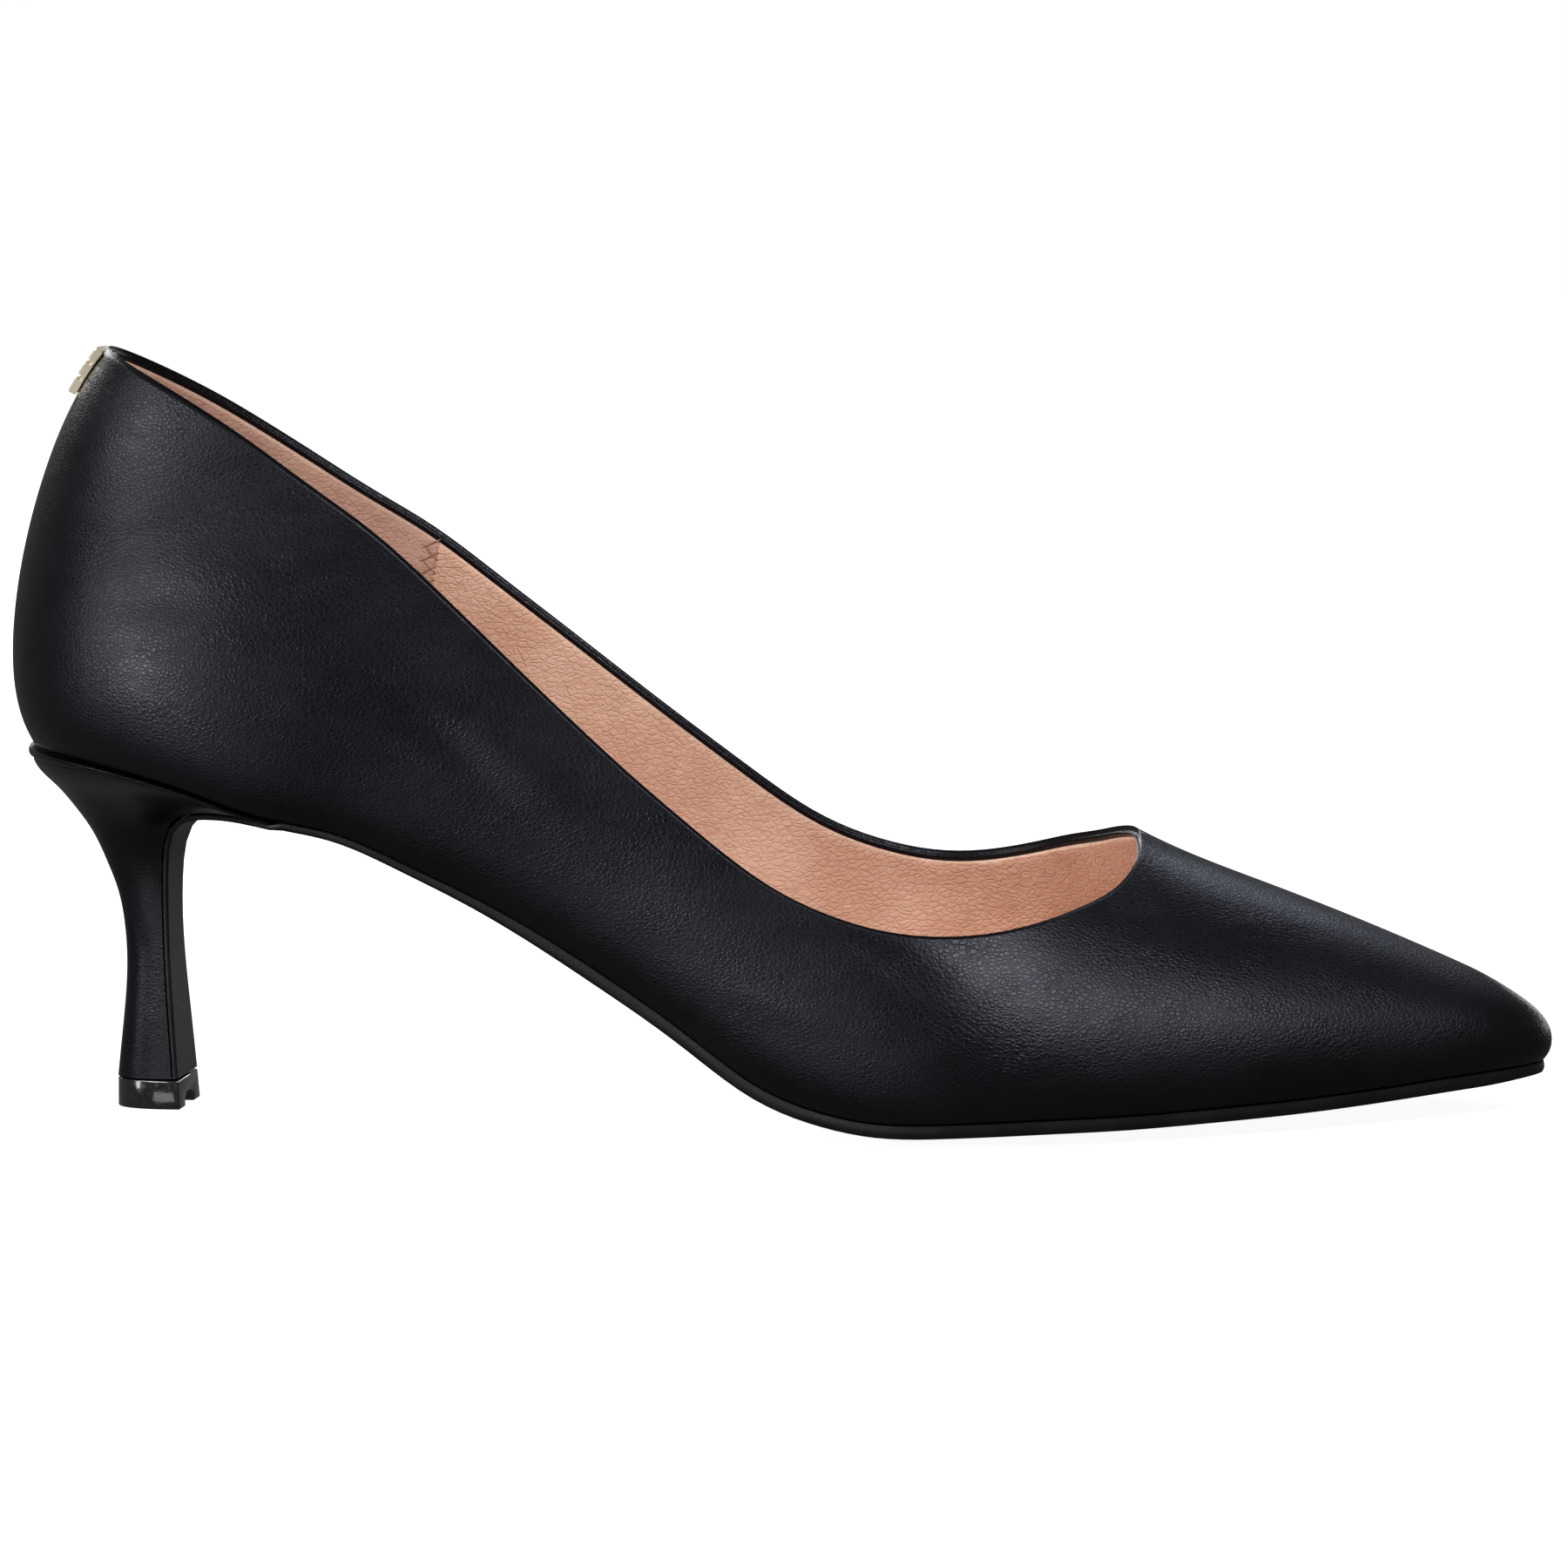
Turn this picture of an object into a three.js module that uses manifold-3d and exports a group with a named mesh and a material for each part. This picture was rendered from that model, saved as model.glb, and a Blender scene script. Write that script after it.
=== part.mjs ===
// Pointed pump, right shoe, on a slim flared heel.
// Millimetres. +X runs to the toe, +Y to the inner side of the foot, +Z up.
// The origin lies on the floor, under the middle of the heel tip.
import * as THREE from "three";
import Module from "manifold-3d";
import { mergeVertices } from "three/addons/utils/BufferGeometryUtils.js";

// Driving dimensions of the last
// The feather line is the edge where the upper's wall meets the sole.
const FEATHER_LENGTH = 245.3;
const HEEL_OVERHANG = 17.2;
const SEAT_WIDTH = 48.4;
const WAIST_WIDTH = 39.4;
const BALL_WIDTH = 73.4;
const TOE_WIDTH = 42.4;
const TIP_OFFSET = 2;
const SEAT_HEIGHT = 61.2;
const BALL_HEIGHT = 4.05;
const TOE_SPRING = 3.85;
const ARCH_LIFT = 3;
const COUNTER_RISE = 70;
const INSTEP_RISE = 40.05;
const TOE_BOX = 15.1;
const COUNTER_REACH = 38;
const TOE_REACH = 12.1;
const CONE_GAP = 9;
const SEAT_SWELL = 4.5;
const WAIST_SWELL = 6.4;
const TOE_SWELL = 1.4;
const THROAT_AT = 0.7355;

// Driving dimensions of the pieces
const UPPER_WALL = 1.8;
const INSOLE_THICKNESS = 2;
const SOLE_THICKNESS = 2.15;
const WAIST_EDGE = 1.2;
const TOE_EDGE = 1.75;
const FLAP_THICKNESS = 0.8;
const SOLE_CROWN = 1.9;
const HEEL_LENGTH = 45.2;
const BREAST_FORWARD = 3.5;
const NECK_BACK = 3.5;
const NECK_WIDTH = 9;
const TIP_WIDTH = 12;
const TIP_DEPTH = 11.6;
const TIP_HEIGHT = 4.8;
const TIP_SPREAD = 0.035;
const NOTCH_WIDTH = 5;
const NOTCH_HEIGHT = 2.2;
const NOTCH_DEPTH = 1.6;
const PLATE_WIDTH = 7;
const PLATE_HEIGHT = 7.6;
const PLATE_THICKNESS = 1.3;
const PLATE_GROOVE = 0.7;
const GAP = 0.3;

// Fineness of the solids
const QUARTER_COLUMNS = 36;
const VAMP_COLUMNS = 14;
const UPPER_ROWS = 12;
const LINING_ROWS = 8;
const PLAN_STEPS = 48;
const CROSS_STEPS = 8;
const HEEL_COLUMNS = 12;

// Sole outline: half widths at shares of the feather line's length, each a share of the size it follows
const OUTLINE = [
  { at: 0.0, of: SEAT_WIDTH, lateral: 0.0, medial: 0.0 },
  { at: 0.01, of: SEAT_WIDTH, lateral: 0.198, medial: 0.198 },
  { at: 0.03, of: SEAT_WIDTH, lateral: 0.329, medial: 0.329 },
  { at: 0.06, of: SEAT_WIDTH, lateral: 0.426, medial: 0.426 },
  { at: 0.1, of: SEAT_WIDTH, lateral: 0.484, medial: 0.479 },
  { at: 0.15, of: SEAT_WIDTH, lateral: 0.5, medial: 0.488 },
  { at: 0.2, of: SEAT_WIDTH, lateral: 0.486, medial: 0.455 },
  { at: 0.27, of: WAIST_WIDTH, lateral: 0.569, medial: 0.472 },
  { at: 0.34, of: WAIST_WIDTH, lateral: 0.579, medial: 0.421 },
  { at: 0.41, of: WAIST_WIDTH, lateral: 0.629, medial: 0.447 },
  { at: 0.48, of: BALL_WIDTH, lateral: 0.39, medial: 0.293 },
  { at: 0.55, of: BALL_WIDTH, lateral: 0.455, medial: 0.381 },
  { at: 0.62, of: BALL_WIDTH, lateral: 0.504, medial: 0.46 },
  { at: 0.69, of: BALL_WIDTH, lateral: 0.496, medial: 0.496 },
  { at: 0.76, of: BALL_WIDTH, lateral: 0.428, medial: 0.469 },
  { at: 0.83, of: TOE_WIDTH, lateral: 0.58, medial: 0.679 },
  { at: 0.89, of: TOE_WIDTH, lateral: 0.42, medial: 0.514 },
  { at: 0.94, of: TOE_WIDTH, lateral: 0.274, medial: 0.363 },
  { at: 0.975, of: TOE_WIDTH, lateral: 0.151, medial: 0.241 },
  { at: 0.99, of: TOE_WIDTH, lateral: 0.071, medial: 0.163 },
  { at: 1.0, of: TIP_OFFSET, lateral: -1, medial: 1 },
];

// Feather line from the side: seat is the share of the drop from heel to ball, toe that of the toe spring
const PROFILE = [
  { at: 0.0, seat: 1.0, toe: 0 },
  { at: 0.042, seat: 0.982, toe: 0 },
  { at: 0.094, seat: 0.939, toe: 0 },
  { at: 0.132, seat: 0.89, toe: 0 },
  { at: 0.159, seat: 0.846, toe: 0 },
  { at: 0.184, seat: 0.8134, toe: 0 },
  { at: 0.225, seat: 0.772, toe: 0 },
  { at: 0.27, seat: 0.6872, toe: 0 },
  { at: 0.317, seat: 0.5912, toe: 0 },
  { at: 0.364, seat: 0.4814, toe: 0 },
  { at: 0.411, seat: 0.3575, toe: 0 },
  { at: 0.458, seat: 0.226, toe: 0 },
  { at: 0.506, seat: 0.0896, toe: 0 },
  { at: 0.552, seat: 0.0212, toe: 0 },
  { at: 0.586, seat: 0, toe: 0 },
  { at: 0.63, seat: 0, toe: 0.03 },
  { at: 0.7, seat: 0, toe: 0.19 },
  { at: 0.75, seat: 0, toe: 0.215 },
  { at: 0.793, seat: 0, toe: 0.29 },
  { at: 0.835, seat: 0, toe: 0.38 },
  { at: 0.878, seat: 0, toe: 0.52 },
  { at: 0.92, seat: 0, toe: 0.72 },
  { at: 0.963, seat: 0, toe: 0.92 },
  { at: 1.0, seat: 0, toe: 1 },
];

// Lift of the inner side's feather line along the arch, and the sole's crown across
const ARCH = [
  { at: 0.0, lift: 0, crown: 0 },
  { at: 0.2, lift: 0.15, crown: 0 },
  { at: 0.27, lift: 0.6, crown: 0.2 },
  { at: 0.36, lift: 1.0, crown: 0.5 },
  { at: 0.46, lift: 0.75, crown: 0.8 },
  { at: 0.56, lift: 0.2, crown: 1.0 },
  { at: 0.66, lift: 0, crown: 1.0 },
  { at: 0.8, lift: 0, crown: 0.7 },
  { at: 0.92, lift: 0, crown: 0.25 },
  { at: 1.0, lift: 0, crown: 0 },
];

// Crest of the last from heel to toe: height over the floor, and shift to the inner side
const COUNTER_TOP = SEAT_HEIGHT + COUNTER_RISE;
const INSTEP_TOP = BALL_HEIGHT + INSTEP_RISE;
const TOE_TOP = BALL_HEIGHT + TOE_SPRING + TOE_BOX;
const CREST = [
  { at: 0.0, of: COUNTER_TOP, height: 1.0, shift: 0 },
  { at: 0.08, of: COUNTER_TOP, height: 0.956, shift: 0 },
  { at: 0.2, of: COUNTER_TOP, height: 0.888, shift: 0 },
  { at: 0.33, of: COUNTER_TOP, height: 0.778, shift: 0 },
  { at: 0.46, of: COUNTER_TOP, height: 0.639, shift: 0.1 },
  { at: 0.6, of: INSTEP_TOP, height: 1.433, shift: 0.25 },
  { at: THROAT_AT, of: INSTEP_TOP, height: 1.014, shift: 0.5 },
  { at: 0.83, of: INSTEP_TOP, height: 0.832, shift: 0.7 },
  { at: 0.91, of: INSTEP_TOP, height: 0.692, shift: 0.85 },
  { at: 1.0, of: TOE_TOP, height: 1.0, shift: 1.0 },
];

// Swell of the wall just over the feather line, the height it takes as a share of the swell's size,
// and the lean of the ribs
const SWELL = [
  { at: 0.0, of: SEAT_SWELL, lateral: 0.96, medial: 0.96, over: 1.78, lean: 0.065 },
  { at: 0.2, of: SEAT_SWELL, lateral: 0.86, medial: 0.936, over: 1.11, lean: 0.13 },
  { at: 0.35, of: WAIST_SWELL, lateral: 0.66, medial: 1.0, over: 1.17, lean: 0.2 },
  { at: 0.5, of: WAIST_SWELL, lateral: 0.5, medial: 0.72, over: 0.94, lean: 0.28 },
  { at: 0.65, of: TOE_SWELL, lateral: 1.25, medial: 1.4, over: 2.43, lean: 0.34 },
  { at: 0.8, of: TOE_SWELL, lateral: 1.05, medial: 1.05, over: 2.14, lean: 0.2 },
  { at: 0.92, of: TOE_SWELL, lateral: 1.0, medial: 1.0, over: 1.57, lean: 0 },
  { at: 1.0, of: TOE_SWELL, lateral: 1.35, medial: 1.35, over: 1.36, lean: -0.17 },
];

// Topline, by the way from the throat to the back: how far along the shoe it lies on either side,
// and how far up its rib as a share of a quarter turn
const TOPLINE = [
  { way: 0.0, outer_at: THROAT_AT, outer_up: 1.0, inner_at: THROAT_AT, inner_up: 1.0 },
  { way: 0.012, outer_at: 0.7384, outer_up: 0.936, inner_at: 0.7329, inner_up: 0.939 },
  { way: 0.025, outer_at: 0.7407, outer_up: 0.868, inner_at: 0.7285, inner_up: 0.877 },
  { way: 0.04, outer_at: 0.7411, outer_up: 0.793, inner_at: 0.7222, inner_up: 0.809 },
  { way: 0.06, outer_at: 0.738, outer_up: 0.701, inner_at: 0.7124, inner_up: 0.729 },
  { way: 0.085, outer_at: 0.7286, outer_up: 0.603, inner_at: 0.6982, inner_up: 0.64 },
  { way: 0.115, outer_at: 0.7101, outer_up: 0.512, inner_at: 0.678, inner_up: 0.554 },
  { way: 0.15, outer_at: 0.6848, outer_up: 0.43, inner_at: 0.6528, inner_up: 0.47 },
  { way: 0.2, outer_at: 0.643, outer_up: 0.352, inner_at: 0.613, inner_up: 0.384 },
  { way: 0.27, outer_at: 0.5798, outer_up: 0.307, inner_at: 0.5543, inner_up: 0.332 },
  { way: 0.36, outer_at: 0.503, outer_up: 0.299, inner_at: 0.4847, inner_up: 0.32 },
  { way: 0.46, outer_at: 0.4268, outer_up: 0.313, inner_at: 0.4111, inner_up: 0.329 },
  { way: 0.58, outer_at: 0.3367, outer_up: 0.363, inner_at: 0.3185, inner_up: 0.362 },
  { way: 0.7, outer_at: 0.2427, outer_up: 0.447, inner_at: 0.2239, inner_up: 0.425 },
  { way: 0.82, outer_at: 0.1351, outer_up: 0.547, inner_at: 0.1233, inner_up: 0.507 },
  { way: 0.92, outer_at: 0.0465, outer_up: 0.604, inner_at: 0.0423, inner_up: 0.578 },
  { way: 1.0, outer_at: 0, outer_up: 0.62, inner_at: 0, inner_up: 0.62 },
];

// Heel block from the rim down to the top piece. back is its rear line, edge the front corner
// of its side; each runs from the rim to the neck or breast. half is the corner's half width
// past the neck, end is the flare to the top piece, round turns the rim's shape into a D.
const HEEL = [
  { back: 1.04, back_up: 0.992, edge: 1.0, edge_up: 0.99, half: 1.0, end: 0, round: 0 },
  { back: 1.07, back_up: 0.974, edge: 0.94, edge_up: 0.994, half: 1.0, end: 0, round: 0 },
  { back: 0.993, back_up: 0.939, edge: 0.75, edge_up: 1.002, half: 0.8, end: 0, round: 0.08 },
  { back: 0.775, back_up: 0.874, edge: 0.53, edge_up: 0.999, half: 0.56, end: 0, round: 0.25 },
  { back: 0.546, back_up: 0.803, edge: 0.34, edge_up: 0.988, half: 0.37, end: 0, round: 0.45 },
  { back: 0.352, back_up: 0.728, edge: 0.212, edge_up: 0.965, half: 0.22, end: 0, round: 0.65 },
  { back: 0.187, back_up: 0.633, edge: 0.112, edge_up: 0.923, half: 0.12, end: 0, round: 0.85 },
  { back: 0.07, back_up: 0.546, edge: 0.058, edge_up: 0.86, half: 0.06, end: 0, round: 1 },
  { back: 0.01, back_up: 0.446, edge: 0.028, edge_up: 0.757, half: 0.02, end: 0, round: 1 },
  { back: 0.0, back_up: 0.35, edge: 0.014, edge_up: 0.606, half: 0, end: 0, round: 1 },
  { back: 0.0, back_up: 0.232, edge: 0.004, edge_up: 0.416, half: 0, end: 0.22, round: 1 },
  { back: 0.0, back_up: 0.117, edge: 0.0, edge_up: 0.227, half: 0, end: 0.6, round: 1 },
  { back: 0.0, back_up: 0.0, edge: 0.0, edge_up: 0.0, half: 0, end: 1, round: 1 },
];

// Natural cubic curve through points with rising x
function curve(xs, ys) {
  const last = xs.length - 1;
  const bend = new Array(last + 1).fill(0);
  const carry = new Array(last + 1).fill(0);
  for (let i = 1; i < last; i++) {
    const span = xs[i + 1] - xs[i - 1];
    const share = (xs[i] - xs[i - 1]) / span;
    const pivot = share * bend[i - 1] + 2;
    const rise = (ys[i + 1] - ys[i]) / (xs[i + 1] - xs[i]);
    const kink = rise - (ys[i] - ys[i - 1]) / (xs[i] - xs[i - 1]);
    bend[i] = (share - 1) / pivot;
    carry[i] = ((6 * kink) / span - share * carry[i - 1]) / pivot;
  }
  for (let i = last - 1; i >= 0; i--) {
    bend[i] = bend[i] * bend[i + 1] + carry[i];
  }
  return (x) => {
    let i = 0;
    while (i < last - 1 && x > xs[i + 1]) {
      i++;
    }
    const h = xs[i + 1] - xs[i];
    const a = (xs[i + 1] - x) / h;
    const b = (x - xs[i]) / h;
    const sag = ((a ** 3 - a) * bend[i] + (b ** 3 - b) * bend[i + 1]) * h * h;
    return a * ys[i] + b * ys[i + 1] + sag / 6;
  };
}

// Column of a table as one curve along the shoe
function along(table, value) {
  return curve(table.map((row) => row.at), table.map(value));
}

// Both sides of a table as one closed curve of the turn round the last:
// 0 at the back, a half turn at the toe, the outer side first
const FULL_TURN = 2 * Math.PI;
const WRAPPED_ROWS = 5;
function around(table, outer, inner) {
  const turns = table.map((row) => Math.acos(1 - 2 * row.at));
  const back = table.slice(1, -1).reverse();
  const xs = [...turns, ...turns.slice(1, -1).reverse().map((turn) => FULL_TURN - turn)];
  const ys = [...table.map(outer), ...back.map(inner)];
  const before = xs.slice(-WRAPPED_ROWS).map((x) => x - FULL_TURN);
  const after = xs.slice(0, WRAPPED_ROWS).map((x) => x + FULL_TURN);
  const closed = curve(
    [...before, ...xs, ...after],
    [...ys.slice(-WRAPPED_ROWS), ...ys, ...ys.slice(0, WRAPPED_ROWS)],
  );
  return (turn) => closed(turn - FULL_TURN * Math.floor(turn / FULL_TURN));
}

const drop = SEAT_HEIGHT - BALL_HEIGHT;
const planY = around(OUTLINE, (row) => -row.of * row.lateral, (row) => row.of * row.medial);
const profileZ = along(PROFILE, (row) => BALL_HEIGHT + drop * row.seat + TOE_SPRING * row.toe);
const archLift = along(ARCH, (row) => ARCH_LIFT * row.lift);
const crown = along(ARCH, (row) => SOLE_CROWN * row.crown);
const crestZ = along(CREST, (row) => row.of * row.height);
const crestY = along(CREST, (row) => TIP_OFFSET * row.shift);
const swell = around(SWELL, (row) => row.of * row.lateral, (row) => row.of * row.medial);
const swellOver = along(SWELL, (row) => row.of * row.over);
const ribLean = along(SWELL, (row) => row.lean);

// Share of the length reached at a turn, and the turn of a share
const shareOf = (turn) => (1 - Math.cos(turn)) / 2;
const turnOf = (share) => Math.acos(1 - 2 * share);
const isOuter = (turn) => turn - FULL_TURN * Math.floor(turn / FULL_TURN) < Math.PI;

// Height of the last's bottom at a share of the length; across is -1 at the outer edge, 1 at the inner
function bottomZ(share, across) {
  const lift = archLift(share) * (1 + across) / 2;
  return profileZ(share) + lift - crown(share) * (1 - across * across);
}

// Point of the feather line
function feather(turn) {
  const share = shareOf(turn);
  const z = bottomZ(share, isOuter(turn) ? -1 : 1);
  return new THREE.Vector3(FEATHER_LENGTH * share - HEEL_OVERHANG, planY(turn), z);
}

// Direction square to the outline, away from the foot
const SMALL = 1e-3;
function outward(turn) {
  const step = feather(turn + SMALL).sub(feather(turn - SMALL));
  return new THREE.Vector3(step.y, -step.x, 0).normalize();
}

// Over the open instep the two sides' ribs stay apart; they meet again at the throat
const APART_FROM = 0.22;
const APART_TO = 0.4;
function crestApart(share) {
  const opens = THREE.MathUtils.smoothstep(share, 0, APART_FROM);
  return CONE_GAP * opens * (1 - THREE.MathUtils.smoothstep(share, APART_TO, THROAT_AT));
}

// Point of the crest that a rib leads to, with the crest's slope there
const crestStart = COUNTER_REACH - HEEL_OVERHANG;
const crestLength = FEATHER_LENGTH - COUNTER_REACH - TOE_REACH;
function crest(turn) {
  const share = shareOf(turn);
  const side = isOuter(turn) ? -1 : 1;
  const y = crestY(share) + side * crestApart(share);
  const low = Math.max(share - SMALL, 0);
  const high = Math.min(share + SMALL, 1);
  const slope = (crestZ(high) - crestZ(low)) / ((high - low) * crestLength);
  return { point: new THREE.Vector3(crestStart + crestLength * share, y, crestZ(share)), slope };
}

// Point of the upper's outer face: turn goes round the last, up goes from 0 at the
// feather line to a quarter turn at the crest
function lastPoint(turn, up) {
  const foot = feather(turn);
  const { point, slope } = crest(turn);
  const share = shareOf(turn);
  const lean = ribLean(share) * Math.sin(up) ** 2 * Math.cos(up);
  const inward = 1 - Math.cos(up) + lean;
  const height = (point.z - foot.z) * Math.sin(up);
  const out = swell(turn) * (1 - Math.exp(-height / swellOver(share))) * Math.cos(up);
  const place = foot.clone().lerp(point, inward).addScaledVector(outward(turn), out);
  place.z = foot.z + height + slope * (place.x - point.x) * Math.sin(up) ** 2;
  return place;
}

// Direction square to the outer face
function lastNormal(turn, up) {
  const low = Math.max(up - SMALL, 0);
  const high = Math.min(up + SMALL, Math.PI / 2);
  const round = lastPoint(turn + SMALL, up).sub(lastPoint(turn - SMALL, up));
  const rise = lastPoint(turn, high).sub(lastPoint(turn, low));
  return round.cross(rise).normalize();
}

// Direction square to the vamp's crest, where both sides meet
function crestNormal(turn) {
  return new THREE.Vector3(-crest(turn).slope, 0, 1).normalize();
}

// Topline of one side as curves of the way: the turn, and the rib angle. Each end runs on
// into the other side's rows, over the crest at the throat and round the back
const pastThroat = TOPLINE.slice(1, 1 + WRAPPED_ROWS).reverse();
const pastBack = TOPLINE.slice(-1 - WRAPPED_ROWS, -1).reverse();
const ways = [
  ...pastThroat.map((row) => -row.way),
  ...TOPLINE.map((row) => row.way),
  ...pastBack.map((row) => 2 - row.way),
];
function toplineOf(own, other) {
  const turns = [
    ...pastThroat.map((row) => turnOf(row[`${other}_at`])),
    ...TOPLINE.map((row) => turnOf(row[`${own}_at`])),
    ...pastBack.map((row) => -turnOf(row[`${other}_at`])),
  ];
  const rises = [
    ...pastThroat.map((row) => 2 - row[`${other}_up`]),
    ...TOPLINE.map((row) => row[`${own}_up`]),
    ...pastBack.map((row) => row[`${other}_up`]),
  ];
  const rise = curve(ways, rises);
  return { turn: curve(ways, turns), up: (way) => (rise(way) * Math.PI) / 2 };
}
const backUp = (TOPLINE[TOPLINE.length - 1].outer_up * Math.PI) / 2;

// Grid of triangles between rows of points, with the front where columns turn left into rows
function skin(rows) {
  const faces = [];
  for (let r = 0; r + 1 < rows.length; r++) {
    for (let c = 0; c + 1 < rows[r].length; c++) {
      faces.push([rows[r][c], rows[r][c + 1], rows[r + 1][c + 1]]);
      faces.push([rows[r][c], rows[r + 1][c + 1], rows[r + 1][c]]);
    }
  }
  return faces;
}
const flipped = (faces) => faces.map(([a, b, c]) => [a, c, b]);
const ringed = (loop) => [...loop, loop[0]];

// Outline of a grid, counterclockwise from its front
function outlineOf(rows) {
  const right = rows.map((row) => row[row.length - 1]);
  const left = rows.map((row) => row[0]).reverse();
  const far = [...rows[rows.length - 1]].reverse();
  return [...rows[0], ...right.slice(1), ...far.slice(1), ...left.slice(1)];
}

// Closed body between an upper and a lower grid
function slab(top, under) {
  return [...skin(top), ...skin([outlineOf(under), outlineOf(top)]), ...flipped(skin(under))];
}

// Geometry of a closed body: like corners are joined, and faces without area go
const SAME_PLACE = 1e-3;
function body(faces) {
  const corners = faces.flat().flatMap((p) => [p.x, p.y, p.z]);
  const loose = new THREE.BufferGeometry();
  loose.setAttribute("position", new THREE.Float32BufferAttribute(corners, 3));
  const joined = mergeVertices(loose, SAME_PLACE);
  const index = joined.index.array;
  const kept = [];
  for (let i = 0; i < index.length; i += 3) {
    const [a, b, c] = [index[i], index[i + 1], index[i + 2]];
    if (a !== b && b !== c && c !== a) {
      kept.push(a, b, c);
    }
  }
  joined.setIndex(kept);
  return joined;
}

function piece(name, geometry, material) {
  const mesh = new THREE.Mesh(geometry, new THREE.MeshStandardMaterial(material));
  mesh.name = name;
  return mesh;
}

const LEATHER = { color: 0x26272d, roughness: 0.5, metalness: 0 };
const SOCK = { color: 0xc9a086, roughness: 0.75, metalness: 0 };
const RUBBER = { color: 0x1a1b1f, roughness: 0.6, metalness: 0 };
const WRAPPED_HEEL = { color: 0x25262c, roughness: 0.42, metalness: 0 };
const TIP_PLASTIC = { color: 0x17181b, roughness: 0.25, metalness: 0 };
const PALE_GOLD = { color: 0xd9c6a0, roughness: 0.25, metalness: 1 };

// Columns of the upper: each runs from the feather line to the topline, or to the crest in front
// of the throat. They lie closer at the back and throat, where their feet fan out to the toe.
const EVEN_SHARE = 0.45;
const THROAT_FAN = 0.13;
const FAN_UNTIL = 0.2;
const FAN_FALL = 1.5;
const throatTurn = turnOf(THROAT_AT);
function columnsOf(own, other) {
  const edge = toplineOf(own, other);
  const found = [];
  for (let i = 0; i <= QUARTER_COLUMNS; i++) {
    const step = i / QUARTER_COLUMNS;
    const way = 1 - EVEN_SHARE * step - (1 - EVEN_SHARE) * Math.sin((step * Math.PI) / 2) ** 2;
    const fan = THROAT_FAN * Math.max(1 - way / FAN_UNTIL, 0) ** FAN_FALL;
    found.push({ foot: edge.turn(way) + fan, top: edge.turn(way), up: edge.up(way) });
  }
  for (let i = 1; i <= VAMP_COLUMNS; i++) {
    const top = throatTurn + ((Math.PI - throatTurn) * i) / VAMP_COLUMNS;
    const foot = throatTurn + THROAT_FAN + ((Math.PI - throatTurn - THROAT_FAN) * i) / VAMP_COLUMNS;
    found.push({ foot, top, up: Math.PI / 2 });
  }
  return found;
}
const outerColumns = columnsOf("outer", "inner");
const mirrored = columnsOf("inner", "outer").slice(1, -1).reverse();
const innerColumns = mirrored.map(({ foot, top, up }) => ({ foot: FULL_TURN - foot, top: FULL_TURN - top, up }));
const upperColumns = [...outerColumns, ...innerColumns];

// Upper: one wall of the last's shape, open at the top and underneath
const FEATHER_CROWDING = 1.35;
const FOOT_FAN = 3;
function wallPoint({ foot, top, up }, share, depth) {
  if (share === 0) {
    return feather(foot).addScaledVector(outward(foot), -depth);
  }
  if (share === 1 && up > Math.PI / 2 - SMALL * SMALL) {
    return crest(top).point.addScaledVector(crestNormal(top), -depth);
  }
  const turn = THREE.MathUtils.lerp(foot, top, share ** FOOT_FAN);
  const rise = up * share ** FEATHER_CROWDING;
  return lastPoint(turn, rise).addScaledVector(lastNormal(turn, rise), -depth);
}

function wallRows(count, depth) {
  const rows = [];
  for (let r = 0; r <= count; r++) {
    rows.push(ringed(upperColumns.map((column) => wallPoint(column, r / count, depth))));
  }
  return rows;
}

// The top edge is rounded over: points between the two faces, pushed up out of the wall
const EDGE_ANGLES = [60, 120].map(THREE.MathUtils.degToRad);
function upperBody() {
  const outside = wallRows(UPPER_ROWS, 0);
  const inside = wallRows(LINING_ROWS, UPPER_WALL);
  const count = upperColumns.length;
  const opening = [];
  for (let i = -QUARTER_COLUMNS; i <= QUARTER_COLUMNS; i++) {
    opening.push((i + count) % count);
  }
  const outerEdge = opening.map((i) => outside[UPPER_ROWS][i]);
  const innerEdge = opening.map((i) => inside[LINING_ROWS][i]);
  const steps = outerEdge.length - 1;
  const rolled = EDGE_ANGLES.map((angle) => outerEdge.map((point, i) => {
    const before = outerEdge[i === 0 ? steps - 1 : i - 1];
    const after = outerEdge[i === steps ? 1 : i + 1];
    const across = innerEdge[i].clone().sub(point);
    const proud = after.clone().sub(before).cross(across).normalize();
    const middle = point.clone().addScaledVector(across, (1 - Math.cos(angle)) / 2);
    return middle.addScaledVector(proud, (-UPPER_WALL / 2) * Math.sin(angle));
  }));
  return body([
    ...skin(outside),
    ...flipped(skin(inside)),
    ...skin([inside[0], outside[0]]),
    ...skin([outerEdge, ...rolled, innerEdge]),
  ]);
}

// Plan points across the shoe: columns run from the outer to the inner edge
const CROSS = [];
for (let i = 0; i <= CROSS_STEPS; i++) {
  CROSS.push((2 * i) / CROSS_STEPS - 1);
}
function crossRow(outerEdge, innerEdge, height) {
  const atEnd = Math.abs(innerEdge.y - outerEdge.y) < SAME_PLACE;
  return CROSS.map((across) => {
    const point = outerEdge.clone().lerp(innerEdge, (1 + across) / 2);
    const share = THREE.MathUtils.clamp((point.x + HEEL_OVERHANG) / FEATHER_LENGTH, 0, 1);
    point.z = height(share, atEnd ? -1 : across);
    return point;
  });
}

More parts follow.
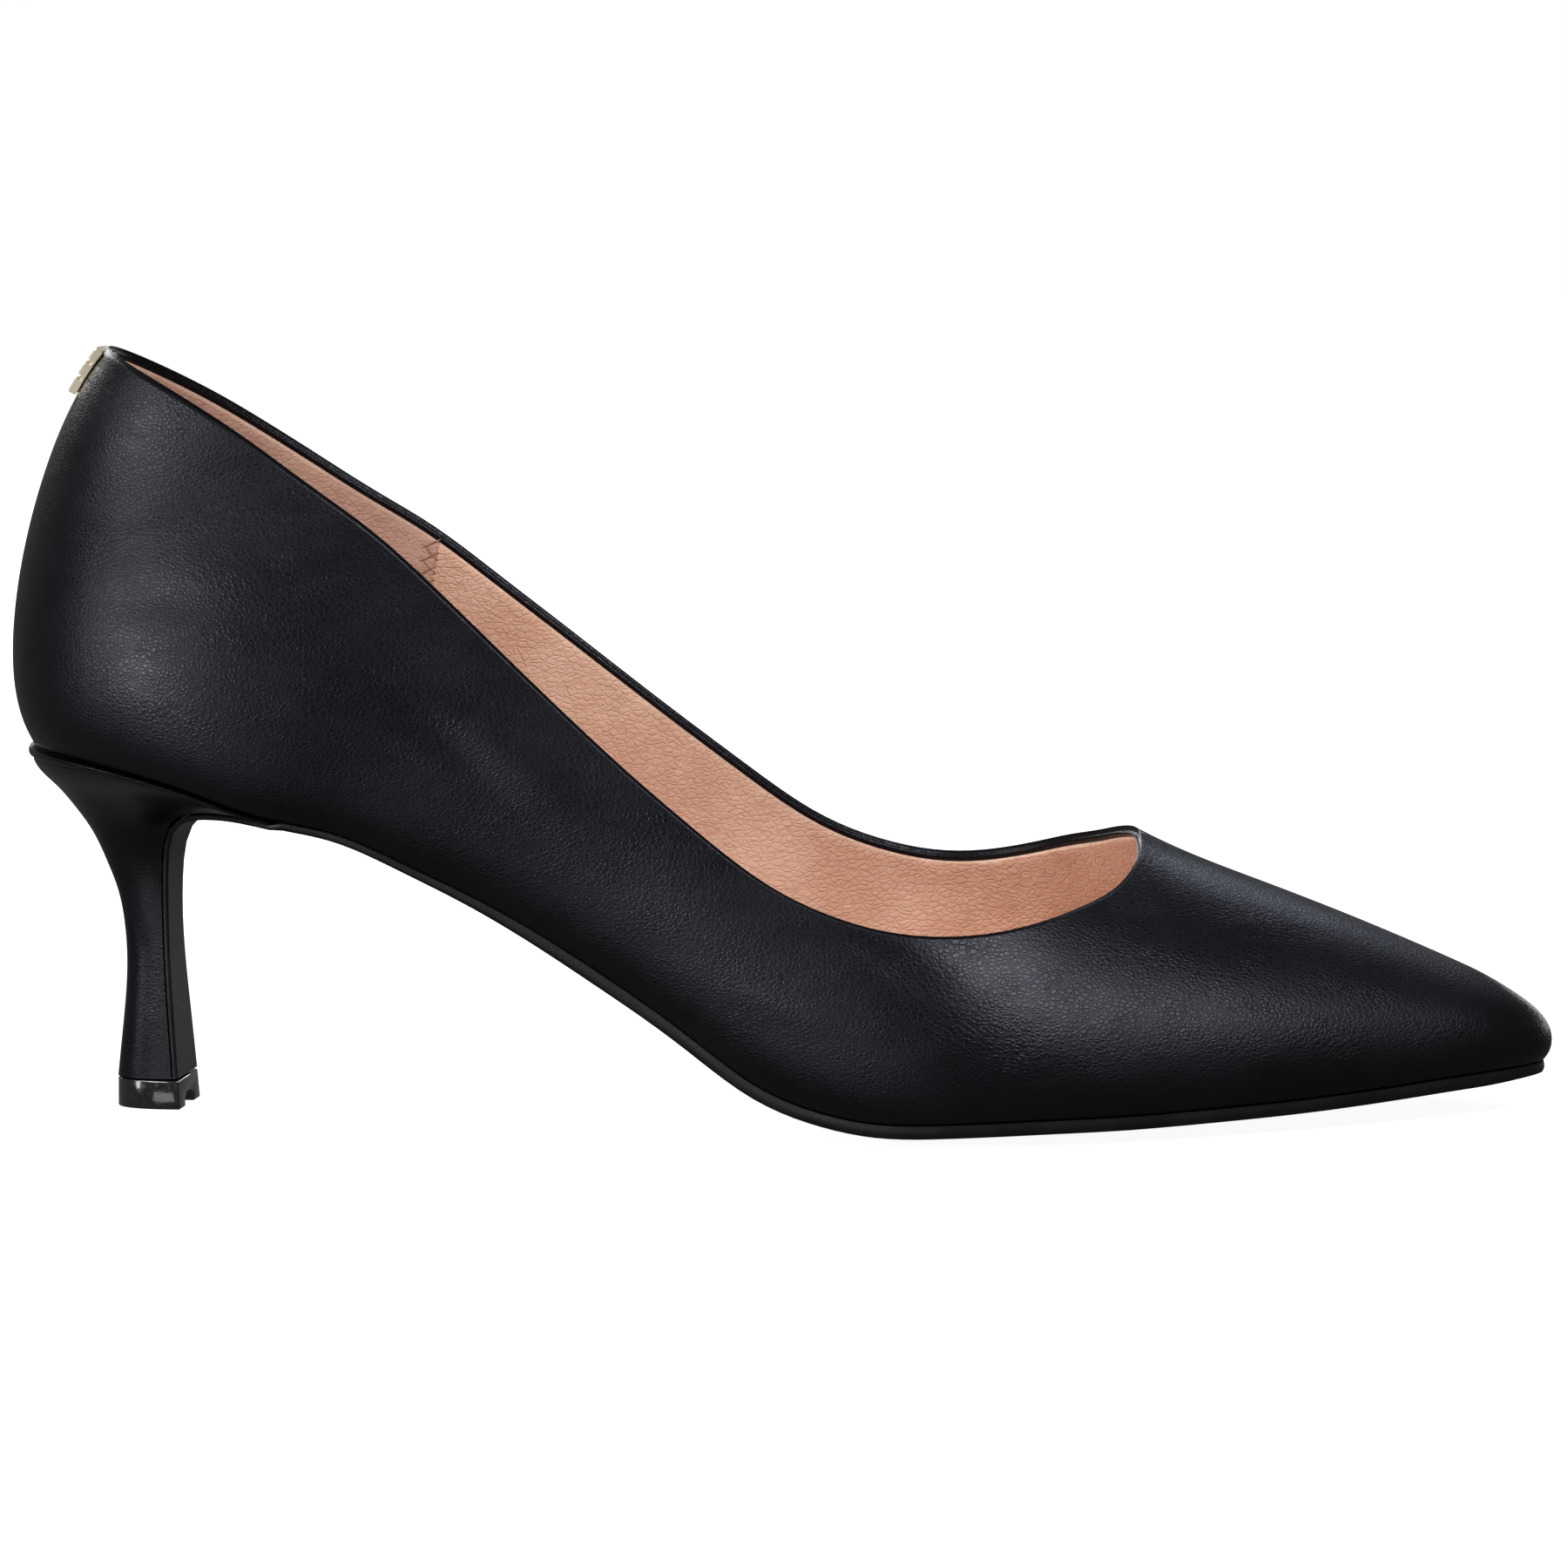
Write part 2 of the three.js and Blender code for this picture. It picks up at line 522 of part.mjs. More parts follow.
// Insole: the padded sheet that the foot stands on, set inside the wall
function insoleBody() {
  const inset = UPPER_WALL + GAP;
  const edge = (turn) => feather(turn).addScaledVector(outward(turn), -inset);
  const rows = (lift) => {
    const found = [];
    for (let i = 0; i <= PLAN_STEPS; i++) {
      const turn = (Math.PI * i) / PLAN_STEPS;
      const height = (share, across) => bottomZ(share, across) + lift;
      found.push(crossRow(edge(turn), edge(FULL_TURN - turn), height));
    }
    return found;
  };
  return body(flipped(slab(rows(INSOLE_THICKNESS), rows(0))));
}

// Heel block: rows of points from the outer front corner round the back to the inner one
const heelEndTurn = turnOf(HEEL_LENGTH / FEATHER_LENGTH);
const rimEnd = feather(heelEndTurn);
const rimHalf = -rimEnd.y;
const rimBack = feather(0);
const heelLow = TIP_HEIGHT + GAP;
const rimFall = rimBack.z - rimEnd.z;
const NECK_ROUND = 0.83;
const RIM_OUT = 0.5;
const flare = {
  back: TIP_DEPTH / 2,
  edge: TIP_DEPTH / 2 - FLAP_THICKNESS - GAP,
  half: TIP_WIDTH / 2,
};
function heelRow(row) {
  const breast = BREAST_FORWARD + (flare.edge - BREAST_FORWARD) * row.end;
  const rear = NECK_BACK + (flare.back - NECK_BACK) * row.end;
  const neck = NECK_WIDTH / 2 + (flare.half - NECK_WIDTH / 2) * row.end;
  const backX = -(rear + (HEEL_OVERHANG - rear) * row.back);
  const edgeX = breast + (rimEnd.x - breast) * row.edge;
  const backZ = heelLow + (rimBack.z - GAP - heelLow) * row.back_up;
  const edgeZ = heelLow + (rimEnd.z - GAP - heelLow) * row.edge_up;
  const half = neck + (rimHalf - neck) * row.half;
  const points = [];
  for (let i = -HEEL_COLUMNS; i <= HEEL_COLUMNS; i++) {
    const way = i / HEEL_COLUMNS;
    const onRim = feather(-way * heelEndTurn);
    const rimForward = (onRim.x - rimBack.x) / (rimEnd.x - rimBack.x);
    const rimDown = (rimBack.z - onRim.z) / rimFall;
    const angle = (Math.abs(way) * Math.PI) / 2;
    const roundForward = 1 - Math.cos(angle) ** NECK_ROUND;
    const roundAcross = Math.sign(way) * Math.sin(angle) ** NECK_ROUND;
    const forward = THREE.MathUtils.lerp(rimForward, roundForward, row.round);
    const down = THREE.MathUtils.lerp(rimDown, roundForward, row.round);
    const across = THREE.MathUtils.lerp(onRim.y / rimHalf, roundAcross, row.round);
    const wide = half + RIM_OUT * (1 - row.round) * (1 - forward);
    points.push(new THREE.Vector3(
      backX + (edgeX - backX) * forward,
      across * wide,
      backZ + (edgeZ - backZ) * down,
    ));
  }
  return points;
}

function heelBody() {
  const side = HEEL.map(heelRow);
  const rim = side[0];
  const foot = side[side.length - 1];
  const pairs = (row) => {
    const found = [];
    for (let i = 0; i <= HEEL_COLUMNS; i++) {
      found.push([row[HEEL_COLUMNS - i], row[HEEL_COLUMNS + i]]);
    }
    return found;
  };
  const breast = side.map((row) => [row[row.length - 1], row[0]]);
  return body([
    ...skin(side),
    ...skin(breast),
    ...flipped(skin(pairs(rim))),
    ...skin(pairs(foot)),
  ]);
}

// Outsole: a sheet under the forepart and waist that turns down over the heel's breast
const WING_CLEARANCE = 2;
const soleStart = (HEEL_LENGTH + WING_CLEARANCE) / FEATHER_LENGTH;
const WAIST_START = 0.24;
const WAIST_END = 0.4;
const TOE_THIN_FROM = 0.96;
function soleThickness(share) {
  const waist = THREE.MathUtils.smoothstep(share, WAIST_START, WAIST_END);
  const toe = THREE.MathUtils.smoothstep(share, TOE_THIN_FROM, 1);
  const forepart = THREE.MathUtils.lerp(SOLE_THICKNESS, TOE_EDGE, toe);
  return THREE.MathUtils.lerp(WAIST_EDGE, forepart, waist);
}

function forepartRows(under) {
  const rows = [];
  const first = turnOf(soleStart);
  for (let i = 0; i <= PLAN_STEPS; i++) {
    const turn = Math.PI - ((Math.PI - first) * i) / PLAN_STEPS;
    const height = (share, across) => {
      const top = bottomZ(share, across) - GAP;
      const slope = (profileZ(Math.min(share + SMALL, 1)) - profileZ(share - SMALL))
        / (2 * SMALL * FEATHER_LENGTH);
      const thick = soleThickness(share) * Math.hypot(1, slope);
      return under ? Math.max(top - thick, 0) : top;
    };
    rows.push(crossRow(feather(turn), feather(FULL_TURN - turn), height));
  }
  return rows;
}

function flapRows(depth) {
  const corners = HEEL.map((row) => {
    const points = heelRow(row);
    return { outer: points[0], inner: points[points.length - 1] };
  });
  const rows = [];
  for (let i = 0; i < corners.length; i++) {
    const before = corners[Math.max(i - 1, 0)].outer;
    const after = corners[Math.min(i + 1, corners.length - 1)].outer;
    const normal = new THREE.Vector3(before.z - after.z, 0, after.x - before.x).normalize();
    const shift = (corner) => corner.clone().addScaledVector(normal, depth);
    const { outer, inner } = corners[i];
    rows.push(CROSS.map((across) => shift(outer).lerp(shift(inner), (1 + across) / 2)));
  }
  return rows;
}

function outsoleBody() {
  const top = [...forepartRows(false), ...flapRows(GAP)];
  const under = [...forepartRows(true), ...flapRows(GAP + FLAP_THICKNESS)];
  return body(slab(top, under));
}

// Top piece: a D-shaped lift under the heel, spreading to the floor, with an arched notch in its front
const wasm = await Module();
wasm.setup();
function solidOf(geometry) {
  const bare = geometry.clone();
  bare.deleteAttribute("normal");
  bare.deleteAttribute("uv");
  const joined = mergeVertices(bare, SAME_PLACE);
  return new wasm.Manifold(new wasm.Mesh({
    numProp: 3,
    vertProperties: new Float32Array(joined.attributes.position.array),
    triVerts: new Uint32Array(joined.index.array),
  }));
}
function geometryOf(solid) {
  const mesh = solid.getMesh();
  const geometry = new THREE.BufferGeometry();
  geometry.setAttribute("position", new THREE.BufferAttribute(new Float32Array(mesh.vertProperties), 3));
  geometry.setIndex(Array.from(mesh.triVerts));
  return geometry;
}

function topPieceBody() {
  const front = TIP_DEPTH / 2;
  const arc = [];
  for (let i = 0; i <= 2 * HEEL_COLUMNS; i++) {
    const angle = (Math.PI * i) / (2 * HEEL_COLUMNS);
    const across = Math.sign(Math.cos(angle)) * Math.abs(Math.cos(angle)) ** NECK_ROUND;
    const back = Math.sin(angle) ** NECK_ROUND;
    arc.push(new THREE.Vector2(front - TIP_DEPTH * back, (TIP_WIDTH / 2) * across));
  }
  const lift = new THREE.ExtrudeGeometry(new THREE.Shape(arc), { depth: TIP_HEIGHT, bevelEnabled: false });
  const corners = lift.attributes.position;
  for (let i = 0; i < corners.count; i++) {
    const wider = 1 + TIP_SPREAD * (1 - corners.getZ(i) / TIP_HEIGHT);
    corners.setXY(i, corners.getX(i) * wider, corners.getY(i) * wider);
  }
  const arch = new THREE.Shape();
  const spring = NOTCH_HEIGHT - NOTCH_WIDTH / 4;
  arch.moveTo(-NOTCH_WIDTH / 2, -NOTCH_HEIGHT);
  arch.lineTo(NOTCH_WIDTH / 2, -NOTCH_HEIGHT);
  arch.lineTo(NOTCH_WIDTH / 2, spring);
  arch.absellipse(0, spring, NOTCH_WIDTH / 2, NOTCH_WIDTH / 4, 0, Math.PI, false);
  const cutter = new THREE.ExtrudeGeometry(arch, {
    depth: 2 * NOTCH_DEPTH,
    bevelEnabled: false,
    curveSegments: 6,
  });
  cutter.rotateX(Math.PI / 2);
  cutter.rotateZ(Math.PI / 2);
  cutter.translate(front - NOTCH_DEPTH, 0, 0);
  return geometryOf(solidOf(lift).subtract(solidOf(cutter)));
}

// Back plate: a small ribbed metal plate on the counter's back seam, curved with it
const PLATE_TOP = 0.975;
const PLATE_BANDS = [
  { from: 0.0, to: 0.24, raised: true },
  { from: 0.24, to: 0.46, raised: false },
  { from: 0.46, to: 0.54, raised: true },
  { from: 0.54, to: 0.78, raised: false },
  { from: 0.78, to: 1.0, raised: true },
];
const PLATE_COLUMNS = 6;
function platePoint(rise, across, depth) {
  const top = backUp * PLATE_TOP;
  const lower = lastPoint(0, top - SMALL);
  const perTurn = lastPoint(0, top).distanceTo(lower) / SMALL;
  const up = top - ((1 - rise) * PLATE_HEIGHT) / perTurn;
  const sideways = lastPoint(SMALL, up).distanceTo(lastPoint(0, up)) / SMALL;
  const turn = (-across * PLATE_WIDTH) / 2 / sideways;
  return lastPoint(turn, up).addScaledVector(lastNormal(turn, up), depth);
}
function plateBody() {
  const row = (rise, depth) => {
    const points = [];
    for (let i = 0; i <= PLATE_COLUMNS; i++) {
      points.push(platePoint(rise, (2 * i) / PLATE_COLUMNS - 1, depth));
    }
    return points;
  };
  const front = [];
  const back = [];
  for (const band of PLATE_BANDS) {
    const depth = GAP + PLATE_THICKNESS - (band.raised ? 0 : PLATE_GROOVE);
    front.push(row(band.from, depth), row(band.to, depth));
    back.push(row(band.from, GAP), row(band.to, GAP));
  }
  return body(flipped(slab(front, back)));
}

const pump = new THREE.Group();
pump.add(
  piece("upper", upperBody(), LEATHER),
  piece("insole", insoleBody(), SOCK),
  piece("outsole", outsoleBody(), RUBBER),
  piece("heel", heelBody(), WRAPPED_HEEL),
  piece("top_piece", topPieceBody(), TIP_PLASTIC),
  piece("back_plate", plateBody(), PALE_GOLD),
);

export default pump;
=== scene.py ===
import math

import bmesh
import bpy
import numpy as np
from mathutils import Matrix, Vector


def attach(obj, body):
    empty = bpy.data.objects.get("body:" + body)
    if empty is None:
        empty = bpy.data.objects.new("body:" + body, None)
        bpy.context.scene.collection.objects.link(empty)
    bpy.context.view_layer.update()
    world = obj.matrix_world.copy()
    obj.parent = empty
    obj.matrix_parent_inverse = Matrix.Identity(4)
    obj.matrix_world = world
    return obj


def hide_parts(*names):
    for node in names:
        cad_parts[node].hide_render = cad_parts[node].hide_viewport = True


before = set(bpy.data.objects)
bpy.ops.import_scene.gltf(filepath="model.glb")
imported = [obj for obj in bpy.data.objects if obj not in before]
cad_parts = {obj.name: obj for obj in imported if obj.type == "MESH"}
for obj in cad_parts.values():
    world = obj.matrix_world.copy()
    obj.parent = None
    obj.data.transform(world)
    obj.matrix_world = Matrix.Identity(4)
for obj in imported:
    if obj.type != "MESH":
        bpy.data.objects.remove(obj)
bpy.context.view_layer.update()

# The upper: black calf quarters and vamp, closed up the back seam and pulled over a last.
# The tables give the last's shape. The top edge is folded in over a cord and rolled, and
# the lower edge is lasted under the insole.
MM = 0.001
FEATHER_LENGTH = 245.3
HEEL_OVERHANG = 17.2
SEAT_WIDTH = 48.4
WAIST_WIDTH = 39.4
BALL_WIDTH = 73.4
TOE_WIDTH = 42.4
TIP_OFFSET = 2
SEAT_HEIGHT = 61.2
BALL_HEIGHT = 4.05
TOE_SPRING = 3.85
ARCH_LIFT = 3
COUNTER_RISE = 70
INSTEP_RISE = 40.05
TOE_BOX = 15.1
COUNTER_REACH = 38
TOE_REACH = 12.1
CONE_GAP = 9
SEAT_SWELL = 4.5
WAIST_SWELL = 6.4
TOE_SWELL = 1.4
THROAT_AT = 0.7355
SOLE_CROWN = 1.9
HALF_TURN = math.pi
FULL_TURN = 2 * math.pi
SMALL = 1e-3


def table(names, *rows):
    """Rows of numbers as named columns."""
    return {name: np.array([row[i] for row in rows], float) for i, name in enumerate(names.split())}


outline = table(
    "at of lateral medial",
    (0.0, SEAT_WIDTH, 0.0, 0.0),
    (0.01, SEAT_WIDTH, 0.198, 0.198),
    (0.03, SEAT_WIDTH, 0.329, 0.329),
    (0.06, SEAT_WIDTH, 0.426, 0.426),
    (0.1, SEAT_WIDTH, 0.484, 0.479),
    (0.15, SEAT_WIDTH, 0.5, 0.488),
    (0.2, SEAT_WIDTH, 0.486, 0.455),
    (0.27, WAIST_WIDTH, 0.569, 0.472),
    (0.34, WAIST_WIDTH, 0.579, 0.421),
    (0.41, WAIST_WIDTH, 0.629, 0.447),
    (0.48, BALL_WIDTH, 0.39, 0.293),
    (0.55, BALL_WIDTH, 0.455, 0.381),
    (0.62, BALL_WIDTH, 0.504, 0.46),
    (0.69, BALL_WIDTH, 0.496, 0.496),
    (0.76, BALL_WIDTH, 0.428, 0.469),
    (0.83, TOE_WIDTH, 0.58, 0.679),
    (0.89, TOE_WIDTH, 0.42, 0.514),
    (0.94, TOE_WIDTH, 0.274, 0.363),
    (0.975, TOE_WIDTH, 0.151, 0.241),
    (0.99, TOE_WIDTH, 0.071, 0.163),
    (1.0, TIP_OFFSET, -1, 1),
)
profile = table(
    "at seat toe",
    (0.0, 1.0, 0),
    (0.042, 0.982, 0),
    (0.094, 0.939, 0),
    (0.132, 0.89, 0),
    (0.159, 0.846, 0),
    (0.184, 0.8134, 0),
    (0.225, 0.772, 0),
    (0.27, 0.6872, 0),
    (0.317, 0.5912, 0),
    (0.364, 0.4814, 0),
    (0.411, 0.3575, 0),
    (0.458, 0.226, 0),
    (0.506, 0.0896, 0),
    (0.552, 0.0212, 0),
    (0.586, 0, 0),
    (0.63, 0, 0.03),
    (0.7, 0, 0.19),
    (0.75, 0, 0.215),
    (0.793, 0, 0.29),
    (0.835, 0, 0.38),
    (0.878, 0, 0.52),
    (0.92, 0, 0.72),
    (0.963, 0, 0.92),
    (1.0, 0, 1),
)
arch = table(
    "at lift crown",
    (0.0, 0, 0),
    (0.2, 0.15, 0),
    (0.27, 0.6, 0.2),
    (0.36, 1.0, 0.5),
    (0.46, 0.75, 0.8),
    (0.56, 0.2, 1.0),
    (0.66, 0, 1.0),
    (0.8, 0, 0.7),
    (0.92, 0, 0.25),
    (1.0, 0, 0),
)
COUNTER_TOP = SEAT_HEIGHT + COUNTER_RISE
INSTEP_TOP = BALL_HEIGHT + INSTEP_RISE
TOE_TOP = BALL_HEIGHT + TOE_SPRING + TOE_BOX
crest_rows = table(
    "at of height shift",
    (0.0, COUNTER_TOP, 1.0, 0),
    (0.08, COUNTER_TOP, 0.956, 0),
    (0.2, COUNTER_TOP, 0.888, 0),
    (0.33, COUNTER_TOP, 0.778, 0),
    (0.46, COUNTER_TOP, 0.639, 0.1),
    (0.6, INSTEP_TOP, 1.433, 0.25),
    (THROAT_AT, INSTEP_TOP, 1.014, 0.5),
    (0.83, INSTEP_TOP, 0.832, 0.7),
    (0.91, INSTEP_TOP, 0.692, 0.85),
    (1.0, TOE_TOP, 1.0, 1.0),
)
swell_rows = table(
    "at of lateral medial over lean",
    (0.0, SEAT_SWELL, 0.96, 0.96, 1.78, 0.065),
    (0.2, SEAT_SWELL, 0.86, 0.936, 1.11, 0.13),
    (0.35, WAIST_SWELL, 0.66, 1.0, 1.17, 0.2),
    (0.5, WAIST_SWELL, 0.5, 0.72, 0.94, 0.28),
    (0.65, TOE_SWELL, 1.25, 1.4, 2.43, 0.34),
    (0.8, TOE_SWELL, 1.05, 1.05, 2.14, 0.2),
    (0.92, TOE_SWELL, 1.0, 1.0, 1.57, 0),
    (1.0, TOE_SWELL, 1.35, 1.35, 1.36, -0.17),
)
topline = table(
    "way outer_at outer_up inner_at inner_up",
    (0.0, THROAT_AT, 1.0, THROAT_AT, 1.0),
    (0.012, 0.7384, 0.936, 0.7329, 0.939),
    (0.025, 0.7407, 0.868, 0.7285, 0.877),
    (0.04, 0.7411, 0.793, 0.7222, 0.809),
    (0.06, 0.738, 0.701, 0.7124, 0.729),
    (0.085, 0.7286, 0.603, 0.6982, 0.64),
    (0.115, 0.7101, 0.512, 0.678, 0.554),
    (0.15, 0.6848, 0.43, 0.6528, 0.47),
    (0.2, 0.643, 0.352, 0.613, 0.384),
    (0.27, 0.5798, 0.307, 0.5543, 0.332),
    (0.36, 0.503, 0.299, 0.4847, 0.32),
    (0.46, 0.4268, 0.313, 0.4111, 0.329),
    (0.58, 0.3367, 0.363, 0.3185, 0.362),
    (0.7, 0.2427, 0.447, 0.2239, 0.425),
    (0.82, 0.1351, 0.547, 0.1233, 0.507),
    (0.92, 0.0465, 0.604, 0.0423, 0.578),
    (1.0, 0, 0.62, 0, 0.62),
)


def smooth(x, low, high):
    t = np.clip((np.asarray(x, float) - low) / (high - low), 0, 1)
    return t * t * (3 - 2 * t)


def unit(v):
    return v / np.maximum(np.linalg.norm(v, axis=-1, keepdims=True), 1e-12)


def mix(a, b, t):
    return a + (b - a) * t


def curve(xs, ys):
    """Natural cubic curve through points with rising x."""
    xs = np.asarray(xs, float)
    ys = np.asarray(ys, float)
    n = len(xs)
    h = np.diff(xs)
    rise = np.diff(ys) / h
    system = np.zeros((n, n))
    kinks = np.zeros(n)
    system[0, 0] = system[-1, -1] = 1
    for i in range(1, n - 1):
        system[i, i - 1:i + 2] = h[i - 1], 2 * (h[i - 1] + h[i]), h[i]
        kinks[i] = 6 * (rise[i] - rise[i - 1])
    bend = np.linalg.solve(system, kinks)

    def at(x):
        x = np.asarray(x, float)
        i = np.clip(np.searchsorted(xs, x) - 1, 0, n - 2)
        a = (xs[i + 1] - x) / h[i]
        b = (x - xs[i]) / h[i]
        sag = ((a ** 3 - a) * bend[i] + (b ** 3 - b) * bend[i + 1]) * h[i] ** 2
        return a * ys[i] + b * ys[i + 1] + sag / 6

    return at


def around(rows, outer, inner):
    """Both sides' columns as one closed curve of the turn: 0 at the back, a half turn at the toe."""
    turns = np.arccos(1 - 2 * rows["at"])
    xs = np.concatenate([turns, FULL_TURN - turns[1:-1][::-1]])
    ys = np.concatenate([outer, inner[1:-1][::-1]])
    closed = curve(np.concatenate([xs[-5:] - FULL_TURN, xs, xs[:5] + FULL_TURN]),
                   np.concatenate([ys[-5:], ys, ys[:5]]))
    return lambda turn: closed(np.mod(turn, FULL_TURN))


plan_y = around(outline, -outline["of"] * outline["lateral"], outline["of"] * outline["medial"])
profile_z = curve(
    profile["at"],
    BALL_HEIGHT + (SEAT_HEIGHT - BALL_HEIGHT) * profile["seat"] + TOE_SPRING * profile["toe"],
)
arch_lift = curve(arch["at"], ARCH_LIFT * arch["lift"])
sole_crown = curve(arch["at"], SOLE_CROWN * arch["crown"])
crest_z = curve(crest_rows["at"], crest_rows["of"] * crest_rows["height"])
crest_y = curve(crest_rows["at"], TIP_OFFSET * crest_rows["shift"])
swell = around(swell_rows, swell_rows["of"] * swell_rows["lateral"], swell_rows["of"] * swell_rows["medial"])
swell_over = curve(swell_rows["at"], swell_rows["of"] * swell_rows["over"])
rib_lean = curve(swell_rows["at"], swell_rows["lean"])


def share_of(turn):
    return (1 - np.cos(turn)) / 2


def turn_of(share):
    return np.arccos(1 - 2 * np.asarray(share, float))


def side_of(turn):
    return np.where(np.mod(turn, FULL_TURN) < HALF_TURN, -1.0, 1.0)


def bottom_z(share, across):
    return profile_z(share) + arch_lift(share) * (1 + across) / 2 - sole_crown(share) * (1 - across ** 2)


def feather(turn):
    """The edge where the upper's wall meets the sole."""
    share = share_of(turn)
    return np.stack([FEATHER_LENGTH * share - HEEL_OVERHANG, plan_y(turn), bottom_z(share, side_of(turn))], -1)


def outward(turn):
    step = feather(turn + SMALL) - feather(turn - SMALL)
    return unit(np.stack([step[..., 1], -step[..., 0], np.zeros_like(step[..., 0])], -1))


CREST_START = COUNTER_REACH - HEEL_OVERHANG
CREST_LENGTH = FEATHER_LENGTH - COUNTER_REACH - TOE_REACH
CONE_FULL = 0.22
CONE_CLOSES = 0.4


def crest(turn):
    """The line over the instep and vamp to which the last's ribs lead, and its slope."""
    share = share_of(turn)
    apart = CONE_GAP * smooth(share, 0, CONE_FULL) * (1 - smooth(share, CONE_CLOSES, THROAT_AT))
    low = np.maximum(share - SMALL, 0)
    high = np.minimum(share + SMALL, 1)
    slope = (crest_z(high) - crest_z(low)) / ((high - low) * CREST_LENGTH)
    point = [CREST_START + CREST_LENGTH * share, crest_y(share) + side_of(turn) * apart, crest_z(share)]
    return np.stack(point, -1), slope


def last_point(turn, up):
    """A point of the upper's outer face; up runs to a quarter turn at the crest."""
    foot = feather(turn)
    top, slope = crest(turn)
    share = share_of(turn)
    inward = 1 - np.cos(up) + rib_lean(share) * np.sin(up) ** 2 * np.cos(up)
    height = (top[..., 2] - foot[..., 2]) * np.sin(up)
    out = swell(turn) * (1 - np.exp(-height / swell_over(share))) * np.cos(up)
    place = mix(foot, top, inward[..., None]) + outward(turn) * out[..., None]
    place[..., 2] = foot[..., 2] + height + slope * (place[..., 0] - top[..., 0]) * np.sin(up) ** 2
    return place


def last_normal(turn, up):
    low = np.maximum(up - SMALL, 0)
    high = np.minimum(up + SMALL, HALF_TURN / 2)
    round_it = last_point(turn + SMALL, up) - last_point(turn - SMALL, up)
    normal = unit(np.cross(round_it, last_point(turn, high) - last_point(turn, low)))
    slope = crest(turn)[1]
    over_crest = unit(np.stack([-slope, np.zeros_like(slope), np.ones_like(slope)], -1))
    at_crest = (up > HALF_TURN / 2 - 1e-6) & (share_of(turn) > THROAT_AT - 1e-6)
    return np.where(at_crest[..., None], over_crest, normal)


def topline_of(own, other):
    """One side's topline as curves of the way from the throat to the back: turn and rib angle."""
    way = topline["way"]
    own_turn, own_up = turn_of(topline[own + "_at"]), topline[own + "_up"]
    other_turn, other_up = turn_of(topline[other + "_at"]), topline[other + "_up"]
    past_throat = slice(5, 0, -1)
    past_back = slice(-2, -7, -1)
    ways = np.concatenate([-way[past_throat], way, 2 - way[past_back]])
    turn = curve(ways, np.concatenate([other_turn[past_throat], own_turn, -other_turn[past_back]]))
    up = curve(ways, np.concatenate([2 - other_up[past_throat], own_up, other_up[past_back]]))
    return turn, lambda at: up(at) * HALF_TURN / 2


# Columns round the upper: the quarters' from the back to the throat, where their feet fan
# out to the toe, then the vamp's from the throat to the toe
QUARTER_COLUMNS = 110
VAMP_COLUMNS = 54
EVEN_SHARE = 0.45
THROAT_FAN = 0.13
FAN_UNTIL = 0.2
TURN_EASE = 3
RIB_EASE = 1.35
BACK_UP = topline["outer_up"][-1] * HALF_TURN / 2
throat_turn = float(turn_of(THROAT_AT))
column_steps = np.linspace(0, 1, QUARTER_COLUMNS + 1)
column_ways = 1 - EVEN_SHARE * column_steps - (1 - EVEN_SHARE) * np.sin(column_steps * HALF_TURN / 2) ** 2
outer_turn, outer_up = (edge(column_ways) for edge in topline_of("outer", "inner"))
inner_turn, inner_up = (edge(column_ways) for edge in topline_of("inner", "outer"))
fan = THROAT_FAN * np.maximum(1 - column_ways / FAN_UNTIL, 0) ** 1.5
opening_turn = np.concatenate([-inner_turn[:0:-1], outer_turn])
opening_up = np.concatenate([inner_up[:0:-1], outer_up])
opening_foot = np.concatenate([-(inner_turn + fan)[:0:-1], outer_turn + fan])
opening_up[[0, -1]] = HALF_TURN / 2
vamp_steps = np.arange(1, VAMP_COLUMNS + 1) / VAMP_COLUMNS


def below_topline(distance):
    """Turn and rib angle of the points that lie so far under the topline, square to it."""
    turn = opening_turn
    up = opening_up
    place = last_point(turn, up)
    ahead = np.concatenate([place[1:], place[1:2]])
    before = np.concatenate([place[-2:-1], place[:-1]])
    normal = last_normal(turn, up)
    down = unit(np.cross(unit(ahead - before), normal))
    per_turn = (last_point(turn + SMALL, up) - last_point(turn - SMALL, up)) / (2 * SMALL)
    per_up = (last_point(turn, up) - last_point(turn, up - SMALL)) / SMALL
    aa = (per_turn ** 2).sum(-1)
    bb = (per_up ** 2).sum(-1)
    ab = (per_turn * per_up).sum(-1)
    ra = (per_turn * down).sum(-1)
    rb = (per_up * down).sum(-1)
    fall = aa * bb - ab ** 2
    turn_step = (ra * bb - rb * ab) / fall
    up_step = (rb * aa - ra * ab) / fall
    turn_step[0], turn_step[-1] = -abs(turn_step[-1]), abs(turn_step[-1])
    found_up = np.minimum(up + up_step * distance, HALF_TURN / 2)
    found_up[0] = found_up[-1] = HALF_TURN / 2
    return turn + turn_step * distance, found_up


def shell_columns(distance):
    """Lower and upper ends of all columns, for a sheet that starts so far under the topline."""
    turn, up = below_topline(distance)
    ahead = mix(turn[-1], HALF_TURN, vamp_steps)
    foot_ahead = mix(throat_turn + THROAT_FAN, HALF_TURN, vamp_steps)
    middle = QUARTER_COLUMNS
    behind = FULL_TURN + opening_foot[:middle + 1]
    low = np.concatenate([opening_foot[middle:], foot_ahead, FULL_TURN - foot_ahead[-2::-1], behind])
    top = np.concatenate([turn[middle:], ahead, FULL_TURN - ahead[-2::-1], FULL_TURN + turn[:middle + 1]])
    flat = np.full(2 * len(vamp_steps) - 1, HALF_TURN / 2)
    rise = np.concatenate([up[middle:], flat, up[:middle + 1]])
    return low, top, rise


